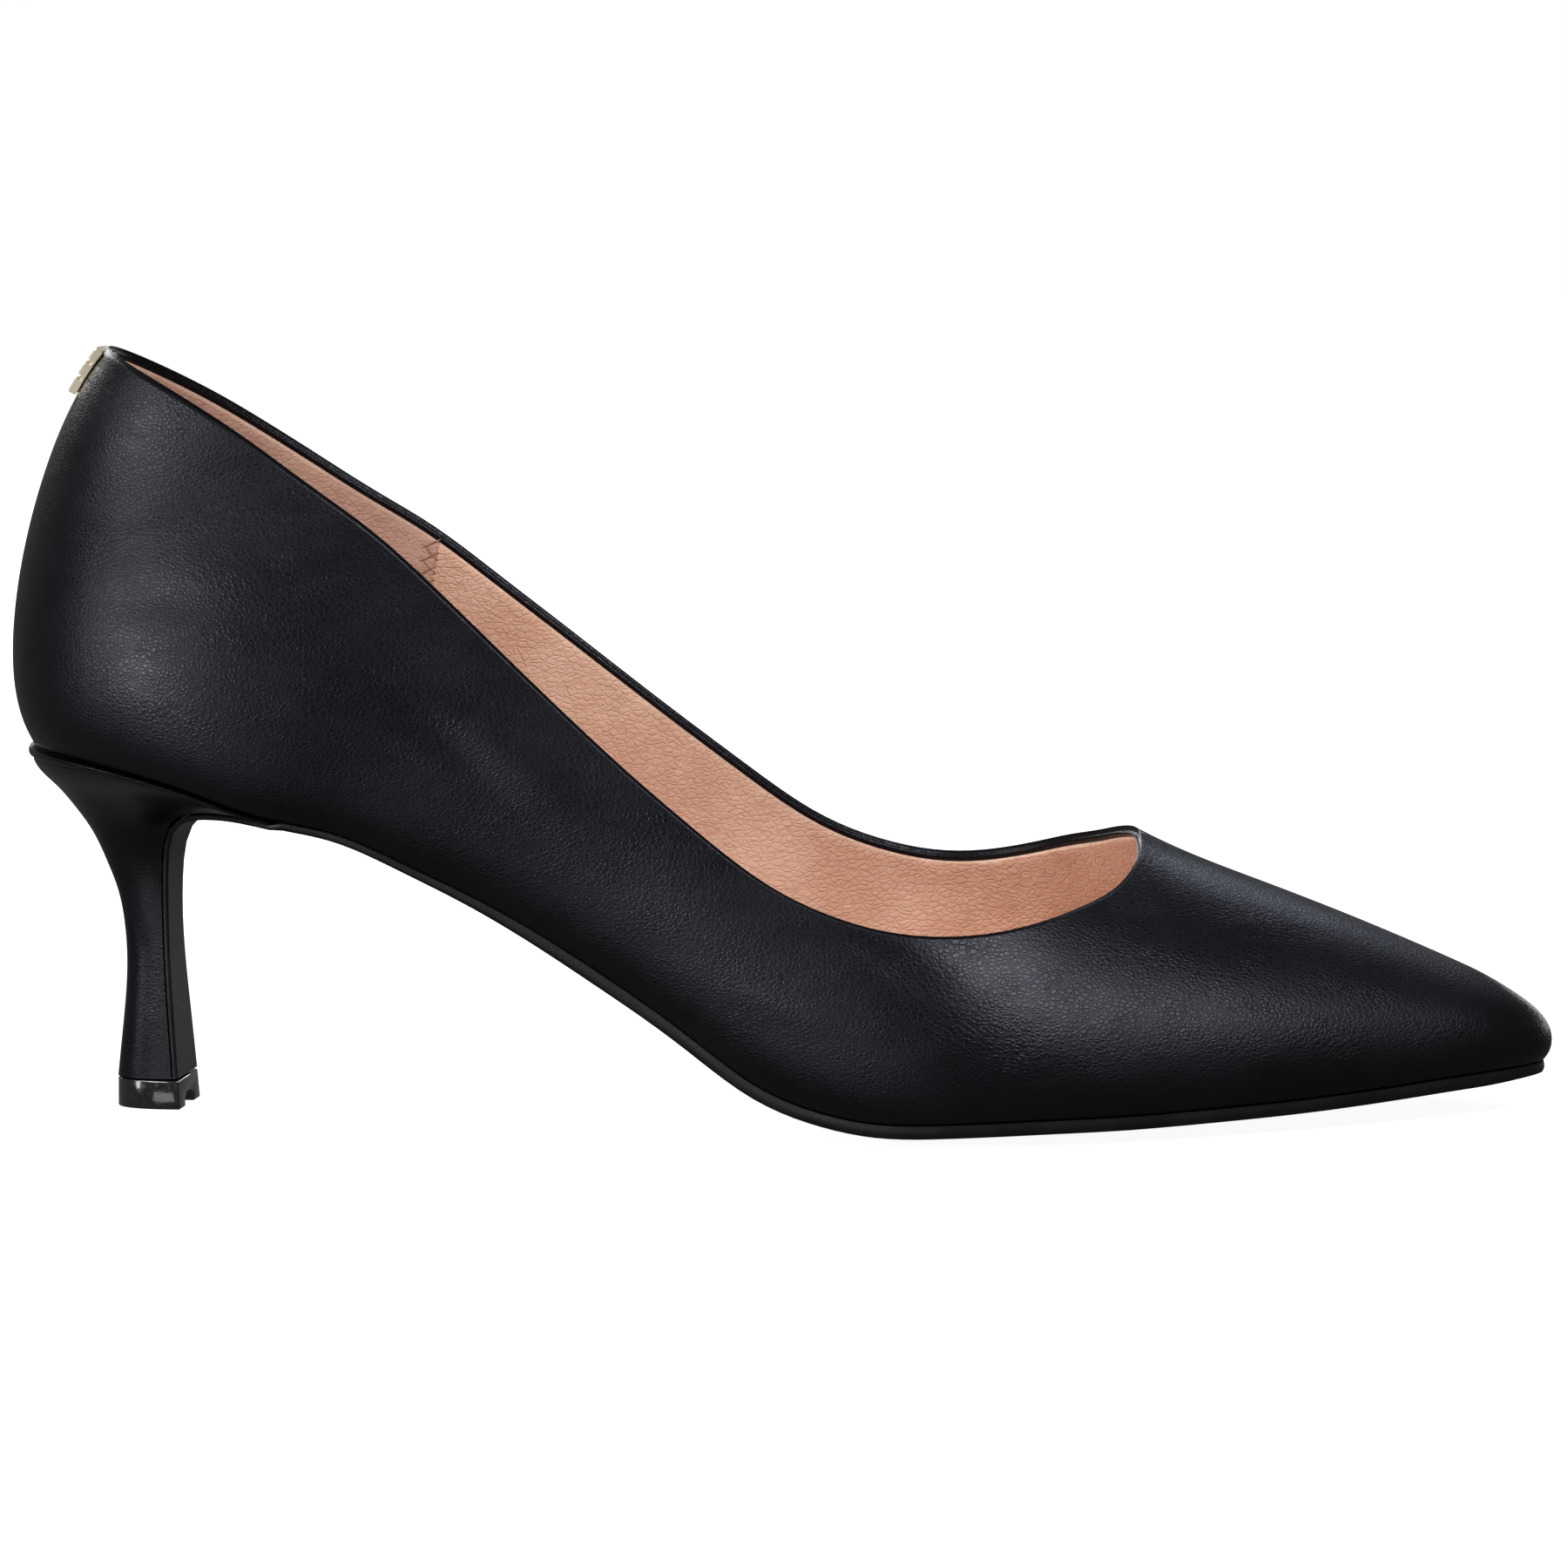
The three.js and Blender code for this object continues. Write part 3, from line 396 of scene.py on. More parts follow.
def shell_places(distance, rows):
    """Turn and rib angle of a grid from the feather line to so far under the topline."""
    low, top, rise = shell_columns(distance)
    share = np.linspace(0, 1, rows + 1)[:, None]
    return share, mix(low[None, :], top[None, :], share ** TURN_EASE), rise[None, :] * share ** RIB_EASE


def sheet_grid(distance, rows, depth):
    """Rows of points from the feather line to so far under the topline, at a depth in the wall."""
    turn, up = shell_places(distance, rows)[1:]
    return last_point(turn, up) - last_normal(turn, up) * depth


# Soft troughs and ridges that lasting and a little wear leave, each placed on a side:
# x and z are its middle, turned by slant degrees, and rise is its height, down if negative
creases = table(
    "side x z long wide slant rise",
    (-1, 72, 57, 26, 7, -38, 0.35),
    (-1, 60, 61, 22, 5, -42, -0.25),
    (-1, 88, 41, 20, 5, -30, -0.2),
    (-1, 112, 22, 22, 5, -16, 0.2),
    (-1, 128, 30, 16, 3.5, -35, -0.25),
    (-1, 139, 33, 16, 3.5, -40, -0.2),
    (-1, 12, 86, 16, 6, 5, -0.35),
    (-1, 8, 98, 14, 6, 10, 0.25),
    (-1, 190, 8.4, 9, 2, -31, -0.3),
    (1, 70, 52, 26, 7, -38, 0.3),
    (1, 96, 34, 24, 5, -25, -0.25),
    (1, 132, 31, 16, 3.5, -38, -0.25),
    (1, 144, 33, 16, 3.5, -42, -0.2),
)


def relief(place):
    """Height of the creases over the last, in millimetres."""
    total = np.zeros(place.shape[:-1])
    for i in range(len(creases["side"])):
        crease = {name: column[i] for name, column in creases.items()}
        slant = math.radians(crease["slant"])
        dx = place[..., 0] - crease["x"]
        dz = place[..., 2] - crease["z"]
        along = dx * math.cos(slant) + dz * math.sin(slant)
        across = dz * math.cos(slant) - dx * math.sin(slant)
        here = np.exp(-(along / crease["long"] * 2) ** 2 - (across / crease["wide"] * 2) ** 2)
        total += crease["rise"] * here * smooth(crease["side"] * place[..., 1], 2, 9)
    return total


CREASES_BEGIN = (0.02, 0.12)
CREASES_END = (0.93, 1)
BACK_SEAM = (0.22, 0.7)
BACK_REACH = 15
WELD_GAP = 0.004
FAR = 99
ROLL_STEPS = 9
LASTING_TUCK = 0.3
UPPER_ROWS = 64
BACKING_ROWS = 12
LEATHER_THICKNESS = 0.9
FOLD_THICKNESS = 1.35
FOLD_DEPTH = 3.4


def placed(name, data):
    """A new object in the scene, unturned at the origin."""
    made = bpy.data.objects.new(name, data)
    bpy.context.collection.objects.link(made)
    return made


def settle(made):
    """Makes what the modifiers give an object's own smooth mesh."""
    depsgraph = bpy.context.evaluated_depsgraph_get()
    plain = bpy.data.meshes.new_from_object(made.evaluated_get(depsgraph))
    made.modifiers.clear()
    made.data = plain
    plain.shade_smooth()


def weld(name, faces):
    """A mesh object of quads given as corner points in millimetres, with like corners joined."""
    corners = np.concatenate(faces).reshape(-1, 3) * MM
    mesh = bpy.data.meshes.new(name)
    count = len(corners) // 4
    mesh.from_pydata(corners.tolist(), [], np.arange(4 * count).reshape(count, 4).tolist())
    work = bmesh.new()
    work.from_mesh(mesh)
    bmesh.ops.remove_doubles(work, verts=work.verts, dist=WELD_GAP * MM)
    bmesh.ops.dissolve_degenerate(work, edges=work.edges, dist=WELD_GAP * MM)
    work.to_mesh(mesh)
    work.free()
    mesh.shade_smooth()
    return placed(name, mesh)


def quads(grid, flip=False):
    """Corner points of a grid's quads, with the front where columns turn left into rows."""
    grid = np.asarray(grid)
    corners = [grid[:-1, :-1], grid[:-1, 1:], grid[1:, 1:], grid[1:, :-1]]
    if flip:
        corners.reverse()
    return np.stack(corners, 2).reshape(-1, 4, 3)


def sharpen(made, angle):
    """Keeps the edges over an angle crisp."""
    made.data.set_sharp_from_angle(angle=math.radians(angle))


def make_upper():
    share, turn, up = shell_places(0, UPPER_ROWS)
    face = last_point(turn, up)
    normal = last_normal(turn, up)
    settled = smooth(share, *CREASES_BEGIN) * (1 - smooth(share, *CREASES_END))
    height = relief(face) * settled
    seam_depth, seam_width = BACK_SEAM
    near_back = np.where(face[..., 0] < BACK_REACH, np.abs(face[..., 1]), FAR)
    height -= seam_depth * np.exp(-(near_back / seam_width) ** 2) * (1 - smooth(share, 0.96, 1))
    face = face + normal * height[..., None]
    count = QUARTER_COLUMNS
    last = face.shape[1] - 1
    ring = np.concatenate([np.arange(last - count, last), np.arange(0, count + 1)])
    edge = face[-1][ring]
    inner = sheet_grid(0, 1, FOLD_THICKNESS)[-1][ring]
    ahead = np.concatenate([edge[1:], edge[1:2]])
    before = np.concatenate([edge[-2:-1], edge[:-1]])
    across = inner - edge
    proud = -unit(np.cross(unit(ahead - before), unit(across)))
    roll = []
    for angle in np.linspace(0, HALF_TURN, ROLL_STEPS):
        middle = edge + across * (1 - math.cos(angle)) / 2
        roll.append(middle + proud * FOLD_THICKNESS / 2 * math.sin(angle))
    fold = [inner]
    for distance in (0.8, 1.6, 2.6, FOLD_DEPTH):
        fold.append(sheet_grid(distance, 1, FOLD_THICKNESS)[-1][ring])
    backing = sheet_grid(FOLD_DEPTH, BACKING_ROWS, LEATHER_THICKNESS)
    under = [backing[0], face[0] - normal[0] * LASTING_TUCK - np.array([0, 0, 0.1]), face[0]]
    return weld("upper_leather", [
        quads(face),
        quads(roll),
        quads(fold),
        quads([fold[-1], backing[-1][ring]]),
        quads(backing, flip=True),
        quads(under),
    ])


class Wire:
    """A socket in a node tree; sums and products of wires add Math nodes."""

    def __init__(self, nodes, socket):
        self.nodes = nodes
        self.socket = socket

    def math(self, operation, first, second):
        return self.nodes.add("ShaderNodeMath", {"operation": operation}, {0: first, 1: second})

    def __add__(self, other):
        return self.math("ADD", self, other)

    def __sub__(self, other):
        return self.math("SUBTRACT", self, other)

    def __rsub__(self, other):
        return self.math("SUBTRACT", other, self)

    def __mul__(self, other):
        return self.math("MULTIPLY", self, other)

    __radd__ = __add__
    __rmul__ = __mul__


class Nodes:
    """A node tree; add makes a node, sets it up, then gives its sockets values or links."""

    def __init__(self, tree):
        self.tree = tree

    def add(self, kind, settings=None, inputs=None, output=0):
        node = self.tree.nodes.new(kind)
        for name, value in (settings or {}).items():
            setattr(node, name, value)
        for key, value in (inputs or {}).items():
            if isinstance(value, Wire):
                self.tree.links.new(value.socket, node.inputs[key])
            else:
                node.inputs[key].default_value = value
        return Wire(self, node.outputs[output])


class Finish(Nodes):
    """A material with one shader, whose fixed values are given at once."""

    def __init__(self, name, **fixed):
        self.material = bpy.data.materials.new(name)
        self.material.use_nodes = True
        super().__init__(self.material.node_tree)
        self.shader = self.tree.nodes["Principled BSDF"]
        for socket, value in fixed.items():
            self.shader.inputs[socket.replace("_", " ")].default_value = value
        self.place = self.add("ShaderNodeTexCoord", output="Object")

    def stretched(self, x=1, y=1, z=1):
        """Object place with each axis multiplied, for patterns sized in millimetres."""
        factors = (x / MM, y / MM, z / MM)
        return self.add("ShaderNodeVectorMath", {"operation": "MULTIPLY"}, {0: self.place, 1: factors})

    def noise(self, place, scale, detail=3, roughness=0.55, distortion=0):
        sockets = {"Vector": place, "Scale": scale, "Detail": detail, "Roughness": roughness,
                   "Distortion": distortion}
        return self.add("ShaderNodeTexNoise", {}, sockets, "Fac")

    def creases(self, place, scale):
        """Distance to the nearest line between cells."""
        sockets = {"Vector": place, "Scale": scale, "Randomness": 1}
        return self.add("ShaderNodeTexVoronoi", {"feature": "DISTANCE_TO_EDGE"}, sockets, "Distance")

    def fit(self, value, low, high, to_low=0, to_high=1):
        sockets = {"Value": value, "From Min": low, "From Max": high, "To Min": to_low, "To Max": to_high}
        return self.add("ShaderNodeMapRange", {"interpolation_type": "SMOOTHSTEP"}, sockets, "Result")

    def blend(self, factor, first, second):
        return self.add("ShaderNodeMix", {"data_type": "RGBA"}, {0: factor, 6: first, 7: second}, 2)

    def bump(self, height, distance, below=None):
        sockets = {"Height": height, "Distance": distance * MM, "Strength": 1}
        if below:
            sockets["Normal"] = below
        return self.add("ShaderNodeBump", {}, sockets, "Normal")

    def feed(self, **wires):
        for socket, wire in wires.items():
            self.tree.links.new(wire.socket, self.shader.inputs[socket.replace("_", " ")])
        return self.material


def rgb(r, g, b):
    """A colour given in screen values of 0 to 255, as linear values."""
    linear = [c / 12.92 if c <= 0.04045 else ((c + 0.055) / 1.055) ** 2.4 for c in (r / 255, g / 255, b / 255)]
    return (*linear, 1)


CALF_DARK = rgb(6, 6, 9)
CALF_LIGHT = rgb(11, 11, 15)
COOL = rgb(238, 240, 255)
GRAIN_SIZE = 0.62
GRAIN_DEPTH = 0.027


def calf(name, dark, light, roughness, grain, gloss):
    """Fine-grained black leather: pebbles split by creases, with pores and a soft uneven sheen."""
    finish = Finish(name, Specular_IOR_Level=0.27, Specular_Tint=COOL, Coat_Roughness=0.25, Coat_Weight=gloss)
    place = finish.stretched(0.72, 0.9, 1)
    bent = finish.add("ShaderNodeTexNoise", {}, {"Vector": place, "Scale": 1.1, "Detail": 2}, "Color")
    nudge = finish.add("ShaderNodeVectorMath", {"operation": "SCALE"}, {0: bent, "Scale": 0.35})
    waved = finish.add("ShaderNodeVectorMath", {"operation": "ADD"}, {0: place, 1: nudge})
    gap = finish.creases(waved, 1 / GRAIN_SIZE)
    pebble = finish.fit(gap, 0.0, 0.28)
    fine = finish.noise(place, 3.2, 3)
    broad = finish.noise(place, 0.055, 3)
    stretch = finish.fit(finish.noise(finish.stretched(0.12, 0.12, 0.3), 1, 2), 0.35, 0.7)
    height = pebble * (0.55 + stretch * 0.45) + fine * 0.5
    soft = finish.bump(finish.noise(place, 0.16, 2), 0.07)
    normal = finish.bump(height, GRAIN_DEPTH * grain, soft)
    patch = finish.fit(broad, 0.35, 0.68)
    colour = finish.blend(patch * 0.6 + pebble * 0.4, dark, light)
    dull = roughness + (1 - pebble) * 0.1 + (patch - 0.5) * 0.08
    return finish.feed(Base_Color=colour, Roughness=dull, Normal=normal)


upper = make_upper()
upper.data.materials.append(calf("black_calf", CALF_DARK, CALF_LIGHT, 0.3, 1.0, 0.0))
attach(upper, "root")
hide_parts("upper")

# The lining: pale goat leather in front and a suede counter lining behind, glued to the
# upper's inside and trimmed just under its folded edge. A zig-zag seam joins them.
LINING_DROP = 1.25
LINING_FACE = 1.95
LINING_BACK = 1.0
BRIM_ROUND = 0.12
LIP_ROUND = 0.45
BACK_LIP_ROUND = 0.42
LINING_ROWS = 40
SCALLOP = 0.16
SCALLOP_PITCH = 2.6
JOIN_AT = 38
SUEDE_PROUD = 0.2
SUEDE_OVERLAP = 3.4


def lining_sheet(name, keep, lift):
    """A closed sheet between the columns kept, its top edge rounded and slightly scalloped."""
    drop = [LINING_DROP, LINING_DROP + BRIM_ROUND, LINING_DROP + LIP_ROUND]
    face = sheet_grid(drop[2], LINING_ROWS, LINING_FACE + lift)
    brim = sheet_grid(drop[1], 1, LINING_FACE + lift - BRIM_ROUND)[-1]
    lip = sheet_grid(drop[0], 1, LINING_FACE + lift - LIP_ROUND)[-1]
    back_lip = sheet_grid(drop[0], 1, LINING_BACK + BACK_LIP_ROUND)[-1]
    back = sheet_grid(drop[2], LINING_ROWS, LINING_BACK)
    run = np.concatenate([[0], np.cumsum(np.linalg.norm(np.diff(brim, axis=0), axis=-1))])
    wave = SCALLOP * np.abs(np.sin(run / SCALLOP_PITCH * HALF_TURN))
    down = unit(face[-1] - brim + 1e-9)
    brim = brim + down * wave[:, None]
    lip = lip + down * wave[:, None]
    grid = np.concatenate([back, [back_lip, lip, brim], face[::-1], back[:1]])
    faces = []
    for first, last in keep:
        part = grid[:, first:last + 1]
        faces.append(quads(part))
        if last - first < grid.shape[1] - 1:
            half = LINING_ROWS + 1
            for column, turned in ((part[:, 0], False), (part[:, -1], True)):
                inside = column[half + 2:half + 2 + half][::-1]
                outside = column[:half]
                faces.append(quads([outside, inside], flip=not turned))
                cap = np.array([outside[-1], column[half], column[half + 1], inside[-1]])
                cap = cap if turned else cap[::-1]
                faces.append(cap[None])
    return weld(name, faces)


low_ends = shell_columns(LINING_DROP)[0]
column_x = FEATHER_LENGTH * share_of(low_ends) - HEEL_OVERHANG
at_toe = int(np.argmax(column_x))
last_column = len(low_ends) - 1


def columns_at(x):
    """The outer and the inner column whose feet lie nearest to x."""
    gap = np.abs(column_x - x)
    return int(np.argmin(gap[:at_toe])), at_toe + int(np.argmin(gap[at_toe:]))


outer_join, inner_join = columns_at(JOIN_AT)
outer_overlap, inner_overlap = columns_at(JOIN_AT + SUEDE_OVERLAP)
GOAT = (rgb(230, 184, 158), rgb(252, 214, 190))
SUEDE = (rgb(198, 158, 138), rgb(222, 184, 164))
CRINKLE_SLANT = 38


def goat(name, dark, light, crinkle, dull):
    """Thin lining leather: slanting crinkles, pores and an uneven polish."""
    finish = Finish(name, Specular_IOR_Level=0.4)
    place = finish.stretched()
    slanted = finish.add("ShaderNodeMapping", {}, {
        "Vector": place,
        "Rotation": (0, math.radians(CRINKLE_SLANT), 0),
        "Scale": (0.75, 1, 1.15),
    })
    folds = finish.noise(slanted, 0.55, 4, 0.6, 0.6)
    lines = finish.fit(finish.creases(slanted, 0.95), 0, 0.2)
    pores = finish.noise(place, 2.6, 3)
    broad = finish.noise(place, 0.07, 3)
    tint = finish.fit(broad + (folds - 0.5) * 0.5, 0.3, 0.72)
    colour = finish.blend(tint * 0.8 + lines * 0.2, dark, light)
    normal = finish.bump(folds * 0.8 + lines * 0.35 + pores * 0.25, crinkle)
    return finish.feed(Base_Color=colour, Roughness=finish.fit(broad, 0.3, 0.7, dull, dull + 0.15), Normal=normal)


front_lining = lining_sheet("front_lining", [(outer_join, inner_join)], 0)
front_lining.data.materials.append(goat("lining_leather", *GOAT, 0.22, 0.42))
sharpen(front_lining, 40)
heel_lining = lining_sheet("heel_lining", [(0, outer_overlap), (inner_overlap, last_column)], SUEDE_PROUD)
heel_lining.data.materials.append(goat("lining_suede", *SUEDE, 0.14, 0.85))
sharpen(heel_lining, 40)
for lining in (front_lining, heel_lining):
    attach(lining, "root")
    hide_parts("upper")

# The lining's seam: a zig-zag of waxed thread over the joined edges, on both sides. A path of
# points runs down each wall just inside the lining, and nodes lay the stitches along it.
INSOLE_THICKNESS = 2
STITCH_PITCH = 1.15
STITCH_LENGTH = 2.3
STITCH_SLANT = 52
THREAD = 0.24


def stitch_tree():
    """Nodes that lay bent stitches along a path, slanting by turns to either side."""
    tree = bpy.data.node_groups.new("stitch_row", "GeometryNodeTree")
    for name, kind in (("Path", "Geometry"), ("Pitch", "Float"), ("Length", "Float"), ("Thread", "Float"),
                       ("Slant", "Float"), ("Finish", "Material")):
        tree.interface.new_socket(name, in_out="INPUT", socket_type="NodeSocket" + kind)
    tree.interface.new_socket("Stitches", in_out="OUTPUT", socket_type="NodeSocketGeometry")
    nodes = Nodes(tree)
    group = tree.nodes.new("NodeGroupInput")
    given = {socket.name: Wire(nodes, socket) for socket in group.outputs}
    line = nodes.add("GeometryNodeMeshToCurve", {}, {"Mesh": given["Path"]})
    even = nodes.add("GeometryNodeResampleCurve", {"mode": "LENGTH"}, {"Curve": line, "Length": given["Pitch"]})
    tangent = nodes.add("GeometryNodeInputTangent")
    marked = nodes.add("GeometryNodeStoreNamedAttribute", {"data_type": "FLOAT_VECTOR"},
                       {"Geometry": even, "Name": "run", "Value": tangent})
    holes = nodes.add("GeometryNodeCurveToPoints", {"mode": "EVALUATED"}, {"Curve": marked})
    run = nodes.add("GeometryNodeInputNamedAttribute", {"data_type": "FLOAT_VECTOR"}, {"Name": "run"})
    face = nodes.add("GeometryNodeInputNamedAttribute", {"data_type": "FLOAT_VECTOR"}, {"Name": "face"})
    arc = nodes.add("GeometryNodeCurveQuadraticBezier", {},
                    {"Resolution": 8, "Start": (-0.5, 0, -0.6), "Middle": (0, 0, 1.1), "End": (0.5, 0, -0.6)})
    ring = nodes.add("GeometryNodeCurvePrimitiveCircle", {}, {"Resolution": 6, "Radius": 0.5})
    stitch = nodes.add("GeometryNodeCurveToMesh", {}, {"Curve": arc, "Profile Curve": ring, "Fill Caps": True})
    along = nodes.add("FunctionNodeAlignRotationToVector", {"axis": "X"}, {"Vector": run})
    faced = nodes.add("FunctionNodeAlignRotationToVector", {"axis": "Z", "pivot_axis": "X"},
                      {"Rotation": along, "Vector": face})
    parity = nodes.add("GeometryNodeInputIndex").math("MODULO", nodes.add("GeometryNodeInputIndex"), 2)
    lean = nodes.add("FunctionNodeAxisAngleToRotation", {},
                     {"Axis": (0, 0, 1), "Angle": given["Slant"] * (1 - 2 * parity)})
    turned = nodes.add("FunctionNodeRotateRotation", {"rotation_space": "LOCAL"},
                       {"Rotation": faced, "Rotate By": lean})
    size = nodes.add("ShaderNodeCombineXYZ", {}, {0: given["Length"], 1: given["Thread"], 2: given["Thread"]})
    laid = nodes.add("GeometryNodeInstanceOnPoints", {},
                     {"Points": holes, "Instance": stitch, "Rotation": turned, "Scale": size})
    solid = nodes.add("GeometryNodeRealizeInstances", {}, {"Geometry": laid})
    dressed = nodes.add("GeometryNodeSetMaterial", {}, {"Geometry": solid, "Material": given["Finish"]})
    out = tree.nodes.new("NodeGroupOutput")
    tree.links.new(dressed.socket, out.inputs[0])
    return tree


def seam_path(name, column, nearer):
    """A line of points down the lining's face between two columns, each with the way it faces."""
    drop = LINING_DROP + 0.9
    turn, up = shell_places(drop, LINING_ROWS)[1:]
    turn = mix(turn[:, column], turn[:, column + nearer], 0.5)
    up = mix(up[:, column], up[:, column + nearer], 0.5)
    facing = -last_normal(turn, up)
    place = last_point(turn, up) + facing * (LINING_FACE + SUEDE_PROUD)
    shown = place[:, 2] > feather(turn)[:, 2] + INSOLE_THICKNESS + 1
    place, facing = place[shown], facing[shown]
    mesh = bpy.data.meshes.new(name)
    steps = np.arange(len(place) - 1)
    mesh.from_pydata((place * MM).tolist(), np.stack([steps, steps + 1], 1).tolist(), [])
    mesh.attributes.new("face", "FLOAT_VECTOR", "POINT").data.foreach_set("vector", facing.ravel())
    return placed(name, mesh)


def sew(made, tree, finish, pitch, length, thread, slant):
    """Turns a path into the stitches along it, as a plain mesh."""
    modifier = made.modifiers.new("stitches", "NODES")
    modifier.node_group = tree
    values = {"Pitch": pitch * MM, "Length": length * MM, "Thread": thread * MM, "Slant": math.radians(slant),
              "Finish": finish}
    for item in tree.interface.items_tree:
        if item.in_out == "INPUT" and item.name in values:
            modifier[item.identifier] = values[item.name]
    settle(made)


def waxed_thread_with_painted_shade():
    """Twisted brown thread, slightly glossy with wax, darker than the lining: partly its own colour and partly
    painted shade for the shadows in the stitch slits.
    """
    finish = Finish("waxed_thread_with_painted_shade", Specular_IOR_Level=0.4)
    ply = finish.noise(finish.stretched(), 5, 2)
    # Painted shade: the thread's brown is darker than the lining's, standing in for the shadows of the pulled
    # stitches in their slits.
    colour = finish.blend(ply, rgb(140, 96, 74), rgb(196, 150, 126))
    dull = finish.fit(ply, 0.3, 0.7, 0.5, 0.65)
    return finish.feed(Base_Color=colour, Roughness=dull, Normal=finish.bump(ply, 0.04))


thread = waxed_thread_with_painted_shade()
stitches = stitch_tree()
for side, column, nearer in (("outer", outer_overlap, -1), ("inner", inner_overlap, 1)):
    seam = seam_path(side + "_lining_seam", column, nearer)
    sew(seam, stitches, thread, STITCH_PITCH, STITCH_LENGTH, THREAD, STITCH_SLANT)
    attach(seam, "root")
    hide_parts("upper")

# The insole and sock: a board of the last's outline, with a thin sheet of lining leather
# glued over it and over the soft pad under the heel and ball.
UPPER_WALL = 1.8
SOCK_GAP = 0.3
SOCK_EDGE = 0.6
SOCK_FACES_UP = 0.3
PLAN_STEPS = 120
CROSS_STEPS = 24


def cross_rows(turns, edge, height):
    """Rows across the shoe from the outer to the inner edge, at the heights given."""
    outer = edge(turns)
    inner = edge(FULL_TURN - turns)
    across = np.linspace(-1, 1, CROSS_STEPS + 1)
    rows = mix(outer[:, None, :], inner[:, None, :], ((1 + across) / 2)[None, :, None])
    share = np.clip((rows[..., 0] + HEEL_OVERHANG) / FEATHER_LENGTH, 0, 1)
    wide = np.abs(inner[:, 1] - outer[:, 1])[:, None]
    rows[..., 2] = height(share, np.where(wide < 0.01, -1, across[None, :]))
    return rows


def rim_of(grid):
    """Outline of a grid, counterclockwise from its front."""
    return np.concatenate([grid[0], grid[1:, -1], grid[-1][::-1][1:], grid[::-1, 0][1:]])


def make_sock():
    turns = np.linspace(0, HALF_TURN, PLAN_STEPS + 1)
    inset = UPPER_WALL + SOCK_GAP

    def edge(extra):
        return lambda turn: feather(turn) - outward(turn) * (inset + extra)

    def below_top(drop):
        return lambda share, across: bottom_z(share, across) + INSOLE_THICKNESS - drop

    top = cross_rows(turns, edge(SOCK_EDGE), below_top(0))
    bevel = cross_rows(turns, edge(0.15), below_top(0.2))
    wall = cross_rows(turns, edge(0), below_top(SOCK_EDGE))
    under = cross_rows(turns, edge(0), bottom_z)
    return weld("sock_sheet", [
        quads(top, flip=True),
        quads([rim_of(under), rim_of(wall), rim_of(bevel), rim_of(top)], flip=True),
        quads(under),
    ])


def insole_board():
    """Dark pressed fibre board, matte, with short mottled fibres."""
    finish = Finish("insole_board", Specular_IOR_Level=0.2, Roughness=0.9)
    fibre = finish.noise(finish.stretched(), 1.5, 4)
    colour = finish.blend(fibre, rgb(18, 17, 17), rgb(38, 35, 33))
    return finish.feed(Base_Color=colour, Normal=finish.bump(fibre, 0.08))


sock = make_sock()
sock.data.materials.append(goat("sock_leather", rgb(206, 166, 144), rgb(226, 190, 168), 0.12, 0.55))
sock.data.materials.append(insole_board())
for face in sock.data.polygons:
    face.material_index = 1 if face.normal.z < SOCK_FACES_UP else 0
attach(sock, "root")
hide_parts("insole")

# The heel: a hard block, covered in black calf that is folded in at the top piece. Its
# cupped rim carries a soft bead where the cover meets the upper.
HEEL_LENGTH = 45.2
BREAST_FORWARD = 3.5
NECK_BACK = 3.5
NECK_WIDTH = 9
TIP_WIDTH = 12
TIP_DEPTH = 11.6
TIP_HEIGHT = 4.8
NECK_ROUND = 0.83
FLAP_THICKNESS = 0.8
GAP = 0.3
HEEL_COLUMNS = 72
BEAD = 0.42
BEAD_GROOVE = 0.14
BEAD_REACH = 3.2
BEAD_WIDTHS = (2.0, 1.1)
GROOVE_WIDTH = 0.34
BEAD_FADE = 0.45
SIDE_SPAN = 96.8
SIDE_EASE = 1.15
heel_rows = table(
    "back back_up edge edge_up half end round",
    (1.04, 0.992, 1.0, 0.99, 1.0, 0, 0),
    (0.993, 0.939, 0.75, 1.002, 0.8, 0, 0.08),
    (0.775, 0.874, 0.53, 0.999, 0.56, 0, 0.25),
    (0.546, 0.803, 0.34, 0.988, 0.37, 0, 0.45),
    (0.352, 0.728, 0.212, 0.965, 0.22, 0, 0.65),
    (0.187, 0.633, 0.112, 0.923, 0.12, 0, 0.85),
    (0.07, 0.546, 0.058, 0.86, 0.06, 0, 1),
    (0.01, 0.446, 0.028, 0.757, 0.02, 0, 1),
    (0.0, 0.35, 0.014, 0.606, 0, 0, 1),
    (0.0, 0.232, 0.004, 0.416, 0, 0.22, 1),
    (0.0, 0.117, 0.0, 0.227, 0, 0.6, 1),
    (0.0, 0.0, 0.0, 0.0, 0, 1, 1),
)
heel_end = float(turn_of(HEEL_LENGTH / FEATHER_LENGTH))
rim_end = feather(np.array(heel_end))
rim_back = feather(np.array(0.0))
heel_low = TIP_HEIGHT + GAP


